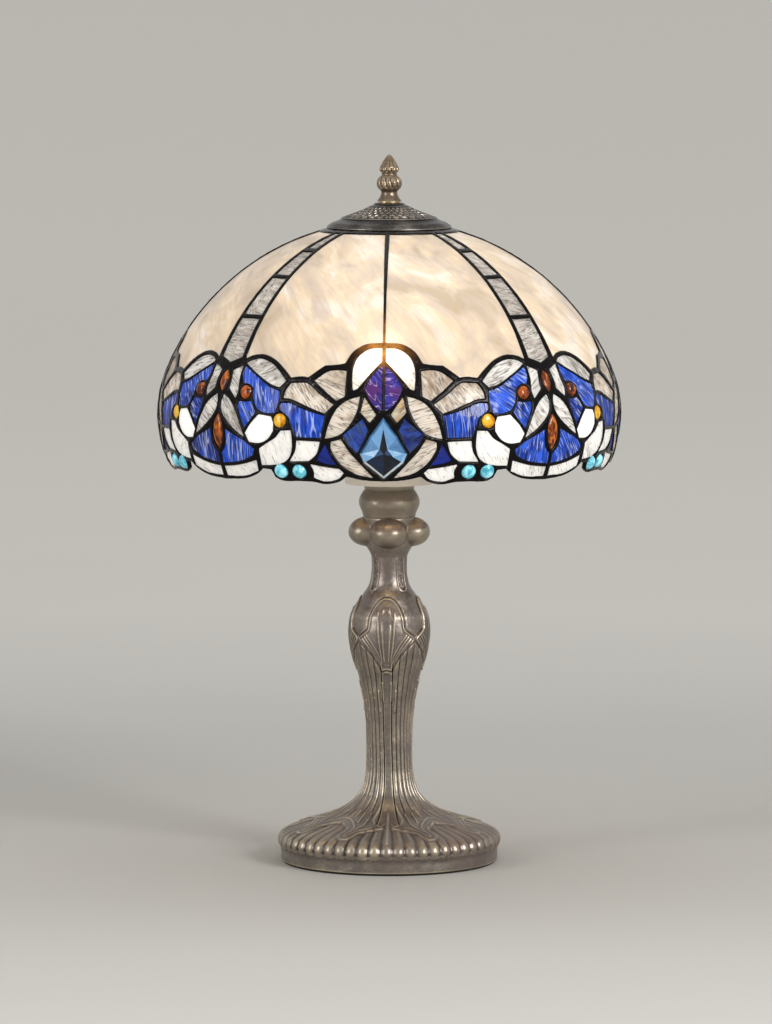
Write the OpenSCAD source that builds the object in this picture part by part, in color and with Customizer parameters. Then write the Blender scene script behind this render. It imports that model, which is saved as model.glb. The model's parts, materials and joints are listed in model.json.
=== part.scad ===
// Leaded glass table lamp: a cast base, a two-light cluster and a copper-foil shade of coloured
// glass under a pierced cap. +Z is up, -Y is the front and the origin is the middle of the
// underside. Outlines on the shade are lists of [angle from the front, height] in degrees and mm.

/* [Shade] */
// Outer radius of the shade's round crown
crown_r = 208.5; // [205:0.5:212]
// Height of the crown's centre
crown_z = 346.5; // [344:0.5:350]
// Radius at which the turned-in skirt's arc is centred
skirt_x = 100; // [98:1:102]
// Height of the skirt's centre
skirt_z = 388.5; // [387:0.5:390]
// Thickness of the solder lines
solder_t = 5; // [4.5:0.5:6]
// Thickness of the sheet glass
glass_t = 3; // [2:0.5:3.5]
// Radius of the brass ring at the top opening
ring_r = 51; // [50:0.5:52]

/* [Base] */
// Radius of the foot's upright edge
foot_r = 93.6; // [93:0.1:95]
// Thickness of the felt under the foot
felt_t = 2; // [1:0.5:3]
// Height of the bottom plate's top face
plate_z = 16; // [15:0.5:17]
// Height at which the base casting meets the lobed knob
knob_z = 266; // [265:0.5:267]
// Height at which the knob meets the collar
collar_z = 300; // [299:0.5:301]
// Height of the collar's top
column_z = 328; // [327:0.5:329]

/* [Lights] */
// Lean of each lampholder from upright
lean = 25; // [22:1:28]
// Height at which a lampholder's axis leaves the cluster
light_z = 345; // [344:0.5:346]
// Distance of that point from the lamp's axis
light_y = 21; // [21:0.5:22]
// Radius of the bulb's glass
bulb_r = 30; // [28:1:32]

/* [Fittings] */
// Radius of the centre pipe
pipe_r = 5; // [4.5:0.5:5.5]
// Radius of the riser rod that holds the shade
rod_r = 4; // [3.5:0.5:4]
// Radius of the hole for the supply cable
cable_r = 3; // [2.5:0.5:3.2]
// Radius of the vent cap's rim
cap_r = 54.3; // [53:0.1:56]
// Height of the finial's tip
tip_z = 611; // [609:1:613]

/* [Hidden] */
$fn = 96;
front_side = 0;
rear_side = 180;
quarters = [0 : 90 : 270];

// The tangent line from the crown's centre through the skirt's centre parts the two arcs.
join_a = atan2(skirt_z - crown_z, skirt_x);
skirt_r = crown_r - norm([skirt_x, skirt_z - crown_z]);
join_z = crown_z + crown_r * sin(join_a);
glass_mid = solder_t / 2;
cut_t = 24;
panel_cut = 120;
rim_cut = 90;
ring_top = 549.2;
ring_bottom = 543;
gasket_t = 2;
wheel_t = 3;
lobe_out = 19.5;
wheel_z = ring_bottom - gasket_t - wheel_t;
rod_top = 584;
pipe_bore = 3.4;
pipe_nut_af = 17;
rod_nut_af = 13;
plate_t = 2;
washer_t = 1.5;
pipe_nut_t = 5;
rod_nut_t = 4;
cluster_z = column_z;
cluster_r = 38;
lid_t = 3;
pipe_top = 337;
// Stations along a lampholder's axis, from where it leaves the cluster.
nipple_end = 16;
shell_start = 10;
shell_end = 58;
contact_z = 28;
bulb_z = 107.5;

// Visible outline of each glass piece in the half unit from 0 to 45 degrees.
arch_petal = [[0.6, 457], [3.5, 456.5], [5.8, 453], [7.2, 448], [7.9, 441], [7.9, 432],
    [7.6, 423], [6.6, 424.5], [4.8, 431.5], [3, 438.5], [0.6, 446.5]];
bud_petal = [[0.4, 443], [2.2, 437.5], [3.9, 430], [4.6, 424], [3.2, 414.5], [1.2, 407.5],
    [0.4, 406.5]];
diamond = [[4.7, 417.5], [5.5, 405], [3.3, 396.5], [1.8, 403]];
medallion_leaf = [[5.8, 418], [8.2, 415.5], [10.4, 411], [12, 404], [13.3, 394],
    [14.2, 382.5], [12.2, 384], [10, 387.5], [7.8, 396.5], [6.4, 407]];
medallion_blue = [[5, 399.5], [7, 393.5], [9.6, 386], [8.3, 377.5], [6.4, 371], [5.2, 378],
    [3.7, 390]];
kite_half = [[0, 401], [3.5, 384], [5.8, 370], [4.9, 362], [0, 348]];
crescent = [[10.3, 382], [12.8, 379.5], [12.8, 374.5], [11.8, 367], [9.9, 359], [6.6, 352],
    [2.6, 349], [6, 362], [8.4, 371.5]];
deep_blue = [[14.2, 378], [15.5, 370.5], [16.6, 363.5], [14.5, 361], [11.6, 359.8],
    [13, 367]];
shoulder_small = [[9.6, 438.5], [12, 439.2], [14.5, 437.8], [17.6, 430.5], [14.5, 422],
    [11.6, 414.5], [9.6, 418]];
shoulder_wide = [[19.5, 428], [21.5, 428.3], [23.8, 427.8], [25, 422], [25.4, 415.5],
    [23.4, 415], [20.5, 411.5], [17, 406.8], [14.4, 403.8], [12.3, 411], [16, 419.5]];
streaky_blue = [[14.4, 401.5], [17.5, 404], [21, 408], [23.5, 411.3], [26, 411],
    [26, 405.5], [23.5, 399], [22.6, 391.5], [21.6, 383.2], [15.3, 383]];
lower_petal_small = [[15.5, 379.5], [21.5, 380], [22, 371], [23.7, 362], [18.6, 363],
    [16.6, 369]];
lower_petal_tall = [[23, 388.5], [25.7, 387.8], [27.3, 381.5], [29.5, 377], [32, 371.8],
    [31.8, 357.5], [28.5, 358.3], [25.4, 361], [23.6, 366.5], [22.8, 376]];
scallop_small = [[10, 353], [11, 356.3], [15, 358], [18.3, 360], [17.6, 354], [17.8, 348.3],
    [14.8, 345.5], [11.5, 347.8]];
scallop_large = [[33.2, 361.5], [37, 357.8], [40.5, 355.5], [44.3, 354.2], [44.2, 346.2],
    [38, 347.2], [33.3, 352.3]];
wing_petal = [[25.5, 429.5], [28, 437], [31, 443.5], [34.5, 446.3], [37.5, 444.8],
    [38.8, 442.3], [34.5, 434.5], [29.5, 426.5], [27, 424.3]];
wing_blue_wide = [[26.8, 421], [29.8, 424], [34, 431.5], [38.9, 439.8], [38.9, 432],
    [38.2, 426.5], [36, 425.5], [34.3, 422], [34.2, 417], [33.6, 411], [32.5, 405],
    [30, 402.5], [27.4, 403], [26.7, 412]];
wing_blue_small = [[34.6, 411.5], [36.5, 410.6], [38.4, 411], [38.4, 406], [36.2, 389],
    [33, 402.5]];
wing_clear = [[39.8, 440.3], [42.8, 436], [42.3, 427.5], [42.3, 421], [39.7, 413.5],
    [39.3, 420], [39.8, 430]];
wing_leaf = [[43.8, 416], [41.6, 411.5], [39.8, 405], [38, 394], [36.3, 381], [38.4, 385],
    [41.2, 392], [43.6, 400.5], [44.3, 409]];
white_pentagon = [[28.4, 399.5], [32, 400.8], [34.2, 393], [36, 384.5], [34.8, 377],
    [31.8, 376.8], [29.4, 380.5], [27.8, 387.5], [27.8, 393.5]];
fan_blue = [[42.4, 386.5], [39.5, 382], [36.5, 377.5], [33.6, 371], [34.2, 366],
    [37, 361.5], [40.5, 358.8], [44.4, 357.3], [44.4, 366], [43.2, 369.5], [42.4, 377]];
cream_panel = [[1.9, 546], [1.1, 530], [0.6, 505], [0.4, 480], [0.4, 461.8], [5, 460.5],
    [8.3, 454.5], [10.2, 445], [12, 444], [15.5, 443], [17.8, 437.5], [19.5, 433.2],
    [21.5, 433.8], [24.2, 432.5], [26.5, 439], [30, 446.5], [34, 450.3], [37.5, 449.2],
    [39.6, 446.2], [39.8, 470], [39.7, 500], [39.4, 525], [38.6, 546]];
rim_line = [[0, 345.8], [5, 346.8], [9.3, 349.8], [11.3, 345.2], [14.8, 342.8], [18, 344.5],
    [21.5, 344.8], [26.5, 344.6], [28.5, 347.5], [29.3, 354], [31.8, 354.5], [33.8, 349.5],
    [38, 344.8], [45, 342.8]];

// The rib's four pieces stand above the wing at 45 degrees.
rib_tip = [[41.3, 447], [45, 442.5], [48.7, 447], [48.7, 478], [41.3, 478]];
rib_spans = [[3.7, 481.5, 510.5], [3.6, 513.5, 531.5], [3, 534.5, 546]];

// Round jewels: [angle, height, radius].
yellow_spot = [26, 396.5, 6];
amber_spot = [36.7, 419, 6];
teal_spots = [[21.5, 353.3, 6.3], [26.5, 353, 6.3]];
// Marquise jewels on the wing's middle line: [height, half height, half width].
marquises = [[427.5, 9.5, 4.8], [384.5, 15.5, 6]];
jewel_t = 6;

function total(v, i = 0) = i < len(v) - 1 ? v[i] + total(v, i + 1) : v[i];
function unit(v) = v / norm(v);
function in_crown(z) = z > join_z;
function arc_angle(z) =
    in_crown(z) ? asin((z - crown_z) / crown_r) : asin((z - skirt_z) / skirt_r);
function arc_radius(z, depth) = (in_crown(z) ? crown_r : skirt_r) - depth;
function shade_radius(z, depth) =
    (in_crown(z) ? 0 : skirt_x) + arc_radius(z, depth) * cos(arc_angle(z));
function shade_height(z, depth) =
    (in_crown(z) ? crown_z : skirt_z) + arc_radius(z, depth) * sin(arc_angle(z));
// The point at a depth under the shade's outer surface, from its angle and outer height.
function on_shade(p, depth) =
    let (r = shade_radius(p.y, depth)) [r * sin(p.x), -r * cos(p.x), shade_height(p.y, depth)];
function middle_of(points) = total(points) / len(points);
function area_normal(points, c) =
    total([for (i = [0 : len(points) - 1])
        cross(points[i] - c, points[(i + 1) % len(points)] - c)]);
// Outward normal of an outline, whichever way round its points go.
function outward(points, c) = let (n = unit(area_normal(points, c))) n * c < 0 ? -n : n;
function mirrored(outline, t) = concat(outline,
    [for (i = [len(outline) - 1 : -1 : 0])
        if (outline[i].x != t) [2 * t - outline[i].x, outline[i].y]]);
function rib_piece(span) = [[45 - span[0], span[1]], [45 + span[0], span[1]],
    [45 + span[0], span[2]], [45 - span[0], span[2]]];
// A lens of two arcs, point to point along y.
function lens(half_h, half_w, n = 8) =
    let (r = (half_h * half_h + half_w * half_w) / (2 * half_w), a = asin(half_h / r))
    concat([for (i = [0 : n]) let (b = -a + 2 * a * i / n)
            [r * cos(b) - (r - half_w), r * sin(b)]],
        [for (i = [1 : n - 1]) let (b = a - 2 * a * i / n)
            [(r - half_w) - r * cos(b), r * sin(b)]]);

// A flat prism that carries an outline of the shade, standing square to the shade there.
module outline_prism(outline, thick, depth = glass_mid) {
    points = [for (p = outline) on_shade(p, depth)];
    c = middle_of(points);
    n = outward(points, c);
    u = unit(cross([0, 0, 1], n));
    v = cross(n, u);
    multmatrix([[u.x, v.x, n.x, c.x], [u.y, v.y, n.y, c.y], [u.z, v.z, n.z, c.z]])
        linear_extrude(height = thick, center = true)
            polygon([for (p = points) [(p - c) * u, (p - c) * v]]);
}

// Lays its children square to the shade at a point.
module at_shade(t, z, depth = glass_mid)
    translate(on_shade([t, z], depth)) rotate([0, 0, t]) rotate([90 - arc_angle(z), 0, 0])
        children();

module quarter_turns() for (a = quarters) rotate([0, 0, a]) children();

module both_hands() {
    children();
    mirror([1, 0, 0]) children();
}

module tiles(outlines, thick = glass_t)
    quarter_turns() both_hands()
        for (outline = outlines) outline_prism(outline, thick);

module middle_tiles(outlines, thick = glass_t)
    quarter_turns() for (outline = outlines) outline_prism(outline, thick);

module ring(outer, inner, z0, z1)
    translate([0, 0, z0]) difference() {
        cylinder(r = outer, h = z1 - z0);
        translate([0, 0, -1]) cylinder(r = inner, h = z1 - z0 + 2);
    }

module hex_nut(af, bore, z0, z1)
    translate([0, 0, z0]) difference() {
        cylinder(d = af / cos(30), h = z1 - z0, $fn = 6);
        translate([0, 0, -1]) cylinder(r = bore, h = z1 - z0 + 2);
    }

// Half section of the shade between two depths, from the rim's lowest level to the top ring.
module shade_section(depth0, depth1) {
    far = 300;
    difference() {
        union() {
            intersection() {
                translate([0, crown_z]) difference() {
                    circle(r = crown_r - depth0, $fn = 200);
                    circle(r = crown_r - depth1, $fn = 200);
                }
                polygon([[0, crown_z], [far * cos(join_a), crown_z + far * sin(join_a)],
                    [far, 700], [0, 700]]);
            }
            intersection() {
                translate([skirt_x, skirt_z]) difference() {
                    circle(r = skirt_r - depth0, $fn = 200);
                    circle(r = skirt_r - depth1, $fn = 200);
                }
                polygon([[skirt_x, skirt_z],
                    [skirt_x + far * cos(join_a), skirt_z + far * sin(join_a)],
                    [far * 2, skirt_z], [far * 2, 338], [skirt_x + 50, 338]]);
            }
        }
        square([ring_r, 700]);
    }
}

module cabochon(r, thick)
    rotate_extrude() intersection() {
        translate([0, -r * 0.6]) circle(r = r * 0.6 + thick / 2);
        translate([0, -thick / 2]) square([r, thick]);
    }

module jewel_seat(spot) at_shade(spot[0], spot[1]) cylinder(r = spot[2], h = cut_t, center = true);

module jewel(spot) at_shade(spot[0], spot[1]) cabochon(spot[2], jewel_t);

// Places its children on a lampholder's axis, on the front or the rear side.
module on_light(side)
    rotate([0, 0, side]) translate([0, -light_y, light_z]) rotate([lean, 0, 0]) children();

module both_lights() for (side = [front_side, rear_side]) on_light(side) children();

module felt_pad() color("black") cylinder(r = foot_r - 2, h = felt_t);

module base_casting() color([0.36, 0.3, 0.24])
    difference() {
        rotate_extrude() polygon([[0, felt_t], [foot_r, felt_t], [foot_r, 12], [95, 14.5],
            [97.2, 18], [97.2, 21.5], [94.8, 25.5], [88.6, 28.2], [80, 31], [68, 34.3],
            [55, 38.6], [44, 42.8], [37, 47.5], [31, 53], [26.3, 58.5], [23.7, 63.7], [22, 69],
            [20.3, 79], [19.8, 97], [20.3, 121], [21.5, 131], [22.8, 142], [25, 152],
            [27.1, 162.5], [30.6, 173], [33.2, 183], [34.9, 194], [35.3, 202], [34, 214.5],
            [31, 220], [28, 225], [24.6, 230], [19.8, 235.5], [17.2, 240.5], [15.9, 246],
            [15.3, 251], [15.1, 258], [15.6, knob_z], [0, knob_z]]);
        rotate_extrude() polygon([[0, felt_t - 1], [86, felt_t - 1], [86, plate_z],
            [81, plate_z], [80, 21], [72, 27], [58, 32.5], [44, 37], [32, 43], [24, 52],
            [18, 63], [15.5, 79], [15, 97], [16, 125], [18, 145], [23, 165], [28, 185],
            [29.5, 202], [27, 216], [18, 228], [11.5, 240], [10.5, 254], [0, 256]]);
        cylinder(r = pipe_r + 0.2, h = knob_z + 1);
        rear_cable_hole(4.2);
    }

module rear_cable_hole(r) translate([0, 70, 7]) rotate([-90, 0, 0]) cylinder(r = r, h = 40);

module base_plate() color("dimgray") ring(85.8, pipe_r + 0.2, plate_z - plate_t, plate_z);

module base_weight() color("gray") ring(56, 20, plate_z, 29);

module base_washer() color("silver")
    ring(14, pipe_r + 0.2, plate_z - plate_t - washer_t, plate_z - plate_t);

module base_nut() color("silver") hex_nut(pipe_nut_af, pipe_r, plate_z - plate_t - washer_t - pipe_nut_t,
    plate_z - plate_t - washer_t);

module cable_bush() color("black")
    difference() {
        union() {
            translate([0, 83, 7]) rotate([-90, 0, 0]) cylinder(r = 4.2, h = foot_r - 81.6);
            translate([0, foot_r + 0.1, 7]) rotate([-90, 0, 0]) cylinder(r = 4.9, h = 2);
        }
        rear_cable_hole(cable_r);
    }

module centre_pipe() color("goldenrod") ring(pipe_r, pipe_bore, 5, pipe_top);

module lobed_knob() color([0.36, 0.3, 0.24])
    difference() {
        union() {
            rotate_extrude() polygon([[0, knob_z], [15.6, knob_z], [17, 269], [19.4, 271.6],
                [21.4, 275], [21.8, 280], [21.8, 290], [22.2, 296], [22.8, collar_z],
                [0, collar_z]]);
            quarter_turns() translate([0, -lobe_out, 0]) rotate_extrude()
                polygon([[0, 271.4], [3.6, 273], [6.6, 274.8], [10, 276.9], [12.8, 279.2],
                    [15, 282], [16, 285.5], [15.2, 288.9], [13.2, 292], [9.8, 295],
                    [5.6, 297.5], [0, 299.4]]);
        }
        translate([0, 0, knob_z - 1]) cylinder(r = pipe_r + 0.2, h = 40);
    }

module column_collar() color([0.36, 0.3, 0.24])
    difference() {
        rotate_extrude() polygon([[0, collar_z], [22.8, collar_z], [23, 302.4], [24.4, 305.4],
            [26, 308.8], [26.3, 311], [26.1, 313.6], [25.4, 316], [23.6, 319.6], [22.2, 322.4],
            [21.4, 323.6], [22.2, 325], [22, column_z], [0, column_z]]);
        translate([0, 0, collar_z - 1]) cylinder(r = 19, h = 15);
        translate([0, 0, collar_z - 1]) cylinder(r = pipe_r + 0.2, h = 40);
    }

module collar_nut() color("silver")
    hex_nut(pipe_nut_af, pipe_r, cluster_z + lid_t, cluster_z + lid_t + pipe_nut_t);

module cluster_body() color([0.78, 0.74, 0.64])
    difference() {
        translate([0, 0, cluster_z]) cylinder(r = cluster_r, h = light_z - cluster_z);
        translate([0, 0, cluster_z + lid_t]) cylinder(r = cluster_r - 3, h = light_z);
        translate([0, 0, column_z - 1]) cylinder(r = pipe_r, h = 20);
    }

module cluster_lid() color([0.78, 0.74, 0.64])
    difference() {
        union() {
            translate([0, 0, light_z]) cylinder(r = cluster_r, h = lid_t);
            both_lights() translate([0, 0, -8]) cylinder(r = 8, h = 8 + shell_start);
        }
        translate([0, 0, light_z - 30]) cylinder(r = cluster_r * 2, h = 30);
        translate([0, 0, light_z - 1]) cylinder(r = rod_r, h = 20);
        both_lights() translate([0, 0, -12]) cylinder(r = 4.8, h = 40);
    }

module lampholder_nipples() color("goldenrod")
    both_lights() ring(4.8, pipe_bore, -5, nipple_end);

module lampholder_shells() color([0.2, 0.17, 0.14])
    both_lights() difference() {
        translate([0, 0, shell_start]) cylinder(r = 18.5, h = shell_end - shell_start);
        translate([0, 0, shell_start + 3]) cylinder(r = 16.5, h = shell_end);
        translate([0, 0, shell_start - 1]) cylinder(r = 4.8, h = 5);
    }

module lampholder_insulators() color("ivory")
    both_lights() difference() {
        translate([0, 0, contact_z - 10]) cylinder(r = 16.4, h = 10);
        for (x = [-8, 8]) translate([x, 0, contact_z - 11]) cylinder(r = 1.5, h = 12);
    }

module lampholder_liners() color("gold") both_lights() ring(14.3, 13.3, contact_z, 56);

module lampholder_contacts() color("gold")
    both_lights() translate([0, 0, contact_z]) cylinder(r = 3.5, h = 2.4);

// A straight round wire between two points of the YZ plane, with a crimp bead at its far end.
module wire(a, b) {
    d = b - a;
    translate([0, a.x, a.y]) rotate([-atan2(d.x, d.y), 0, 0]) cylinder(r = 1.2, h = norm(d));
    translate([0, b.x, b.y]) sphere(r = 1.5);
}

// One pair of wires for each lampholder, up the pipe and out through the cluster.
module inner_wires() color("firebrick")
    for (side = [front_side, rear_side]) {
        rotate([0, 0, side]) {
            wire([-1.6, 6], [-1.6, pipe_top + 1.5]);
            wire([-1.6, pipe_top + 1.5], [5 * sin(lean) - light_y, light_z - 5 * cos(lean)]);
        }
        on_light(side) translate([0, 0, -5]) cylinder(r = 1.2, h = 5 + contact_z - 10);
    }

module riser_rod() color("goldenrod")
    translate([0, 0, light_z - rod_nut_t]) cylinder(r = rod_r, h = rod_top - light_z + rod_nut_t);

module riser_locknuts() color("silver") {
    hex_nut(rod_nut_af, rod_r, light_z - rod_nut_t, light_z);
    hex_nut(rod_nut_af, rod_r, light_z + lid_t, light_z + lid_t + rod_nut_t);
}

module shade_wheel() color([0.42, 0.34, 0.24])
    difference() {
        union() {
            ring(49.5, 43, wheel_z, wheel_z + wheel_t);
            translate([0, 0, wheel_z]) cylinder(r = 10, h = wheel_t);
            for (a = [30 : 120 : 270]) rotate([0, 0, a])
                translate([5, -4, wheel_z]) cube([40, 8, wheel_t]);
        }
        translate([0, 0, wheel_z - 1]) cylinder(r = rod_r, h = 20);
    }

module wheel_nuts() color("silver") {
    hex_nut(rod_nut_af, rod_r, wheel_z - rod_nut_t, wheel_z);
    hex_nut(rod_nut_af, rod_r, wheel_z + wheel_t, wheel_z + wheel_t + rod_nut_t);
}

module shade_gasket() color("saddlebrown") ring(49.5, 44, ring_bottom - gasket_t, ring_bottom);

// The bulb's cap slides into the liner; its glass and filament stand in the cap.
module bulb_cap() color("silver")
    rotate_extrude() polygon([[0, 30.4], [5, 30.4], [9, 33], [13.2, 36.5], [13.2, 57.5],
        [12.4, 57.5], [12.4, 38], [0, 36]]);

module bulb_glass() color([1, 0.95, 0.8, 0.5])
    difference() {
        rotate_extrude() polygon(concat([[0, 50], [12.2, 50], [12.2, 60], [15, 70], [20, 81]],
            [for (a = [-42 : 6 : 84]) [bulb_r * cos(a), bulb_z + bulb_r * sin(a)]],
            [[0, bulb_z + bulb_r]]));
        rotate_extrude() polygon(concat([[0, 52], [11.4, 52], [11.4, 60], [14, 70.4], [19, 81.4]],
            [for (a = [-42 : 6 : 84]) [(bulb_r - 1) * cos(a), bulb_z + (bulb_r - 1) * sin(a)]],
            [[0, bulb_z + bulb_r - 1]]));
    }

module bulb_filament() color("orange") {
    translate([0, 0, 52]) cylinder(r = 4, h = 24);
    for (a = quarters) rotate([0, 0, a]) translate([9, 0, 75]) cylinder(r = 0.8, h = 36);
    translate([0, 0, 74]) cylinder(r = 10, h = 2);
}

module front_bulb_cap() on_light(front_side) bulb_cap();
module front_bulb_glass() on_light(front_side) bulb_glass();
module front_bulb_filament() on_light(front_side) bulb_filament();
module rear_bulb_cap() on_light(rear_side) bulb_cap();
module rear_bulb_glass() on_light(rear_side) bulb_glass();
module rear_bulb_filament() on_light(rear_side) bulb_filament();

module shade_top_ring() color("goldenrod") ring(ring_r, 45, ring_bottom, ring_top);

module rim_trim() {
    below = 322;
    quarter_turns() both_hands()
        outline_prism(concat(rim_line, [[45, below], [0, below]]), rim_cut);
}

// One net of solder: the shade's shell with a window for every piece of glass.
module solder_lattice() color([0.2, 0.18, 0.16])
    difference() {
        rotate_extrude() shade_section(0, solder_t);
        rim_trim();
        tiles([arch_petal, bud_petal, diamond, medallion_leaf, medallion_blue, crescent,
            deep_blue, shoulder_small, shoulder_wide, streaky_blue, lower_petal_small,
            lower_petal_tall, scallop_small, scallop_large, wing_petal, wing_blue_wide,
            wing_blue_small, wing_clear, wing_leaf, white_pentagon, fan_blue], cut_t);
        tiles([cream_panel], panel_cut);
        middle_tiles(concat([mirrored(kite_half, 0), rib_tip],
            [for (span = rib_spans) rib_piece(span)]), cut_t);
        quarter_turns() both_hands() {
            for (spot = concat([yellow_spot, amber_spot], teal_spots)) jewel_seat(spot);
        }
        marquise_prisms(cut_t);
    }

module marquise_prisms(thick)
    quarter_turns() for (m = marquises) at_shade(45, m[0])
        linear_extrude(height = thick, center = true) polygon(lens(m[1], m[2]));

module cream_panels() color([0.9, 0.86, 0.76])
    quarter_turns() both_hands() intersection() {
        rotate_extrude() shade_section(glass_mid - glass_t / 2, glass_mid + glass_t / 2);
        outline_prism(cream_panel, panel_cut);
    }

module rib_glass() color([0.75, 0.72, 0.68])
    middle_tiles(concat([rib_tip], [for (span = rib_spans) rib_piece(span)]));

module arch_petals() color("white") tiles([arch_petal]);
module bud_petals() color([0.45, 0.25, 0.7]) tiles([bud_petal]);
module iridescent_diamonds() color([0.85, 0.6, 0.25]) tiles([diamond]);
module medallion_leaves() color([0.8, 0.84, 0.86]) tiles([medallion_leaf]);
module medallion_blues() color([0.2, 0.3, 0.65]) tiles([medallion_blue]);
module kite_jewels() color([0.35, 0.45, 0.6]) middle_tiles([mirrored(kite_half, 0)], solder_t);
module clear_crescents() color([0.75, 0.8, 0.85]) tiles([crescent]);
module deep_blue_points() color([0.1, 0.15, 0.5]) tiles([deep_blue]);
module shoulder_petals() color([0.85, 0.86, 0.86]) tiles([shoulder_small, shoulder_wide]);
module streaky_blues() color([0.35, 0.45, 0.85]) tiles([streaky_blue]);
module yellow_jewels() color([0.9, 0.7, 0.2]) quarter_turns() both_hands() jewel(yellow_spot);
module lower_petals() color([0.88, 0.88, 0.87]) tiles([lower_petal_small, lower_petal_tall]);
module teal_cabochons() color([0.3, 0.7, 0.7])
    quarter_turns() both_hands() for (spot = teal_spots) jewel(spot);
module rim_scallops() color([0.82, 0.84, 0.84]) tiles([scallop_small, scallop_large]);
module wing_petals() color([0.86, 0.86, 0.86]) tiles([wing_petal]);
module wing_blues() color([0.3, 0.35, 0.8]) tiles([wing_blue_wide, wing_blue_small]);
module amber_cabochons() color([0.6, 0.35, 0.12]) quarter_turns() both_hands() jewel(amber_spot);
module wing_clears() color([0.8, 0.82, 0.84]) tiles([wing_clear]);
module marquise_jewels() color([0.55, 0.32, 0.12]) marquise_prisms(jewel_t);
module wing_leaves() color([0.8, 0.83, 0.85]) tiles([wing_leaf]);
module white_pentagons() color([0.93, 0.93, 0.92]) tiles([white_pentagon]);
module fan_blues() color([0.3, 0.3, 0.75]) tiles([fan_blue]);

// A low pierced cone that lets the heat out; two rows of round holes go through its wall.
module vent_cap() color([0.24, 0.2, 0.16])
    difference() {
        rotate_extrude() polygon([[rod_r + 0.4, 567], [11.4, 566], [15.6, 563.8],
            [21, 561.2], [28.4, 558.6], [35.4, 556.2], [40, 553.6], [43.4, 551.4],
            [45, ring_top], [52.4, ring_top], [52.4, 548.6], [cap_r, 548.1], [cap_r, 549.4],
            [51.8, 550.8], [47.2, 552.9], [42.4, 555.6], [37, 558], [29.8, 560.6],
            [22.8, 563.2], [17.6, 565.8], [13.4, 568], [12.4, 569.5], [rod_r + 0.4, 569.5]]);
        for (a = [0 : 20 : 340]) rotate([0, 0, a]) {
            translate([34, 0, 558]) rotate([0, 18, 0]) cylinder(r = 3, h = 10, center = true);
            translate([24.4, 0, 561.6]) rotate([0, 22, 0]) cylinder(r = 2, h = 10, center = true);
        }
    }

module finial_washer() color("goldenrod") ring(9, rod_r + 0.05, 569.5, 570.5);

module finial() color([0.5, 0.4, 0.24])
    difference() {
        rotate_extrude() polygon([[0, 570.5], [10.9, 570.5], [8.8, 573.4], [7.3, 576],
            [6.7, 579], [7.8, 580.4], [9.6, 582.2], [10.8, 584.6], [10.8, 587.6],
            [9.8, 590], [7.4, 592.4], [6.2, 594], [6.2, 595], [7.8, 596.2], [8.8, 598],
            [8.2, 600], [6.8, 602], [5.4, 604.5], [3.7, 607.5], [2, tip_z - 1],
            [0, tip_z]]);
        translate([0, 0, 569]) cylinder(r = rod_r + 0.05, h = 20);
    }

felt_pad();
base_casting();
base_plate();
base_weight();
base_washer();
base_nut();
cable_bush();
centre_pipe();
lobed_knob();
column_collar();
collar_nut();
cluster_body();
cluster_lid();
lampholder_nipples();
lampholder_shells();
lampholder_insulators();
lampholder_liners();
lampholder_contacts();
inner_wires();
riser_rod();
riser_locknuts();
shade_wheel();
wheel_nuts();
shade_gasket();
front_bulb_cap();
front_bulb_glass();
front_bulb_filament();
rear_bulb_cap();
rear_bulb_glass();
rear_bulb_filament();
shade_top_ring();
solder_lattice();
cream_panels();
rib_glass();
arch_petals();
bud_petals();
iridescent_diamonds();
medallion_leaves();
medallion_blues();
kite_jewels();
clear_crescents();
deep_blue_points();
shoulder_petals();
streaky_blues();
yellow_jewels();
lower_petals();
teal_cabochons();
rim_scallops();
wing_petals();
wing_blues();
amber_cabochons();
wing_clears();
marquise_jewels();
wing_leaves();
white_pentagons();
fan_blues();
vent_cap();
finial_washer();
finial();
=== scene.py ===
"""Looks for the leaded glass table lamp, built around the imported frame."""
import json
import math
from itertools import product

import bpy
import numpy as np
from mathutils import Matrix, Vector


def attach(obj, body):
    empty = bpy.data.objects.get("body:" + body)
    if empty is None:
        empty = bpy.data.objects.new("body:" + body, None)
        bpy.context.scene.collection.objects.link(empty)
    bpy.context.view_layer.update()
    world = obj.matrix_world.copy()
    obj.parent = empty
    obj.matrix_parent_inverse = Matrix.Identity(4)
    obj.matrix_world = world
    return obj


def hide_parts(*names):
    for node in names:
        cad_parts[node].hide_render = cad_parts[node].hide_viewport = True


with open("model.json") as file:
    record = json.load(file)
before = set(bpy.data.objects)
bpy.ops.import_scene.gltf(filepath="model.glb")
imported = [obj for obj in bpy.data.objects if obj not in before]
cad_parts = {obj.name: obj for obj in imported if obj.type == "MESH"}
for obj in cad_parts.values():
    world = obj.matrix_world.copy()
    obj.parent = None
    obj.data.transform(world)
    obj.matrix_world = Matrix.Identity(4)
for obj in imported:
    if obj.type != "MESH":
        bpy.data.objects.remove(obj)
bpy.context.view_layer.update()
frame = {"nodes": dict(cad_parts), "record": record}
MM = 0.001
TURN = 2 * math.pi

# ---- shade surface
# The crown is a ball about a point on the axis, and the skirt is a ring-shaped arc that meets it
# on one tangent. A place on the shade is (t, s): the angle from the front, in radians, and the
# distance in mm up the profile from its widest level.
CROWN_R, CROWN_Z = 208.5, 346.5
SKIRT_X, SKIRT_Z = 100.0, 388.5
JOIN = math.atan2(SKIRT_Z - CROWN_Z, SKIRT_X)
SKIRT_R = CROWN_R - math.hypot(SKIRT_X, SKIRT_Z - CROWN_Z)
JOIN_Z = CROWN_Z + CROWN_R * math.sin(JOIN)
JOIN_S = SKIRT_R * JOIN
RING_R = 51.0
GLASS_FRONT, GLASS_BACK = 1.0, 4.0
SOLDER_ROUND = 1.7  # how far in from the glass the solder's round edge goes


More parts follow.
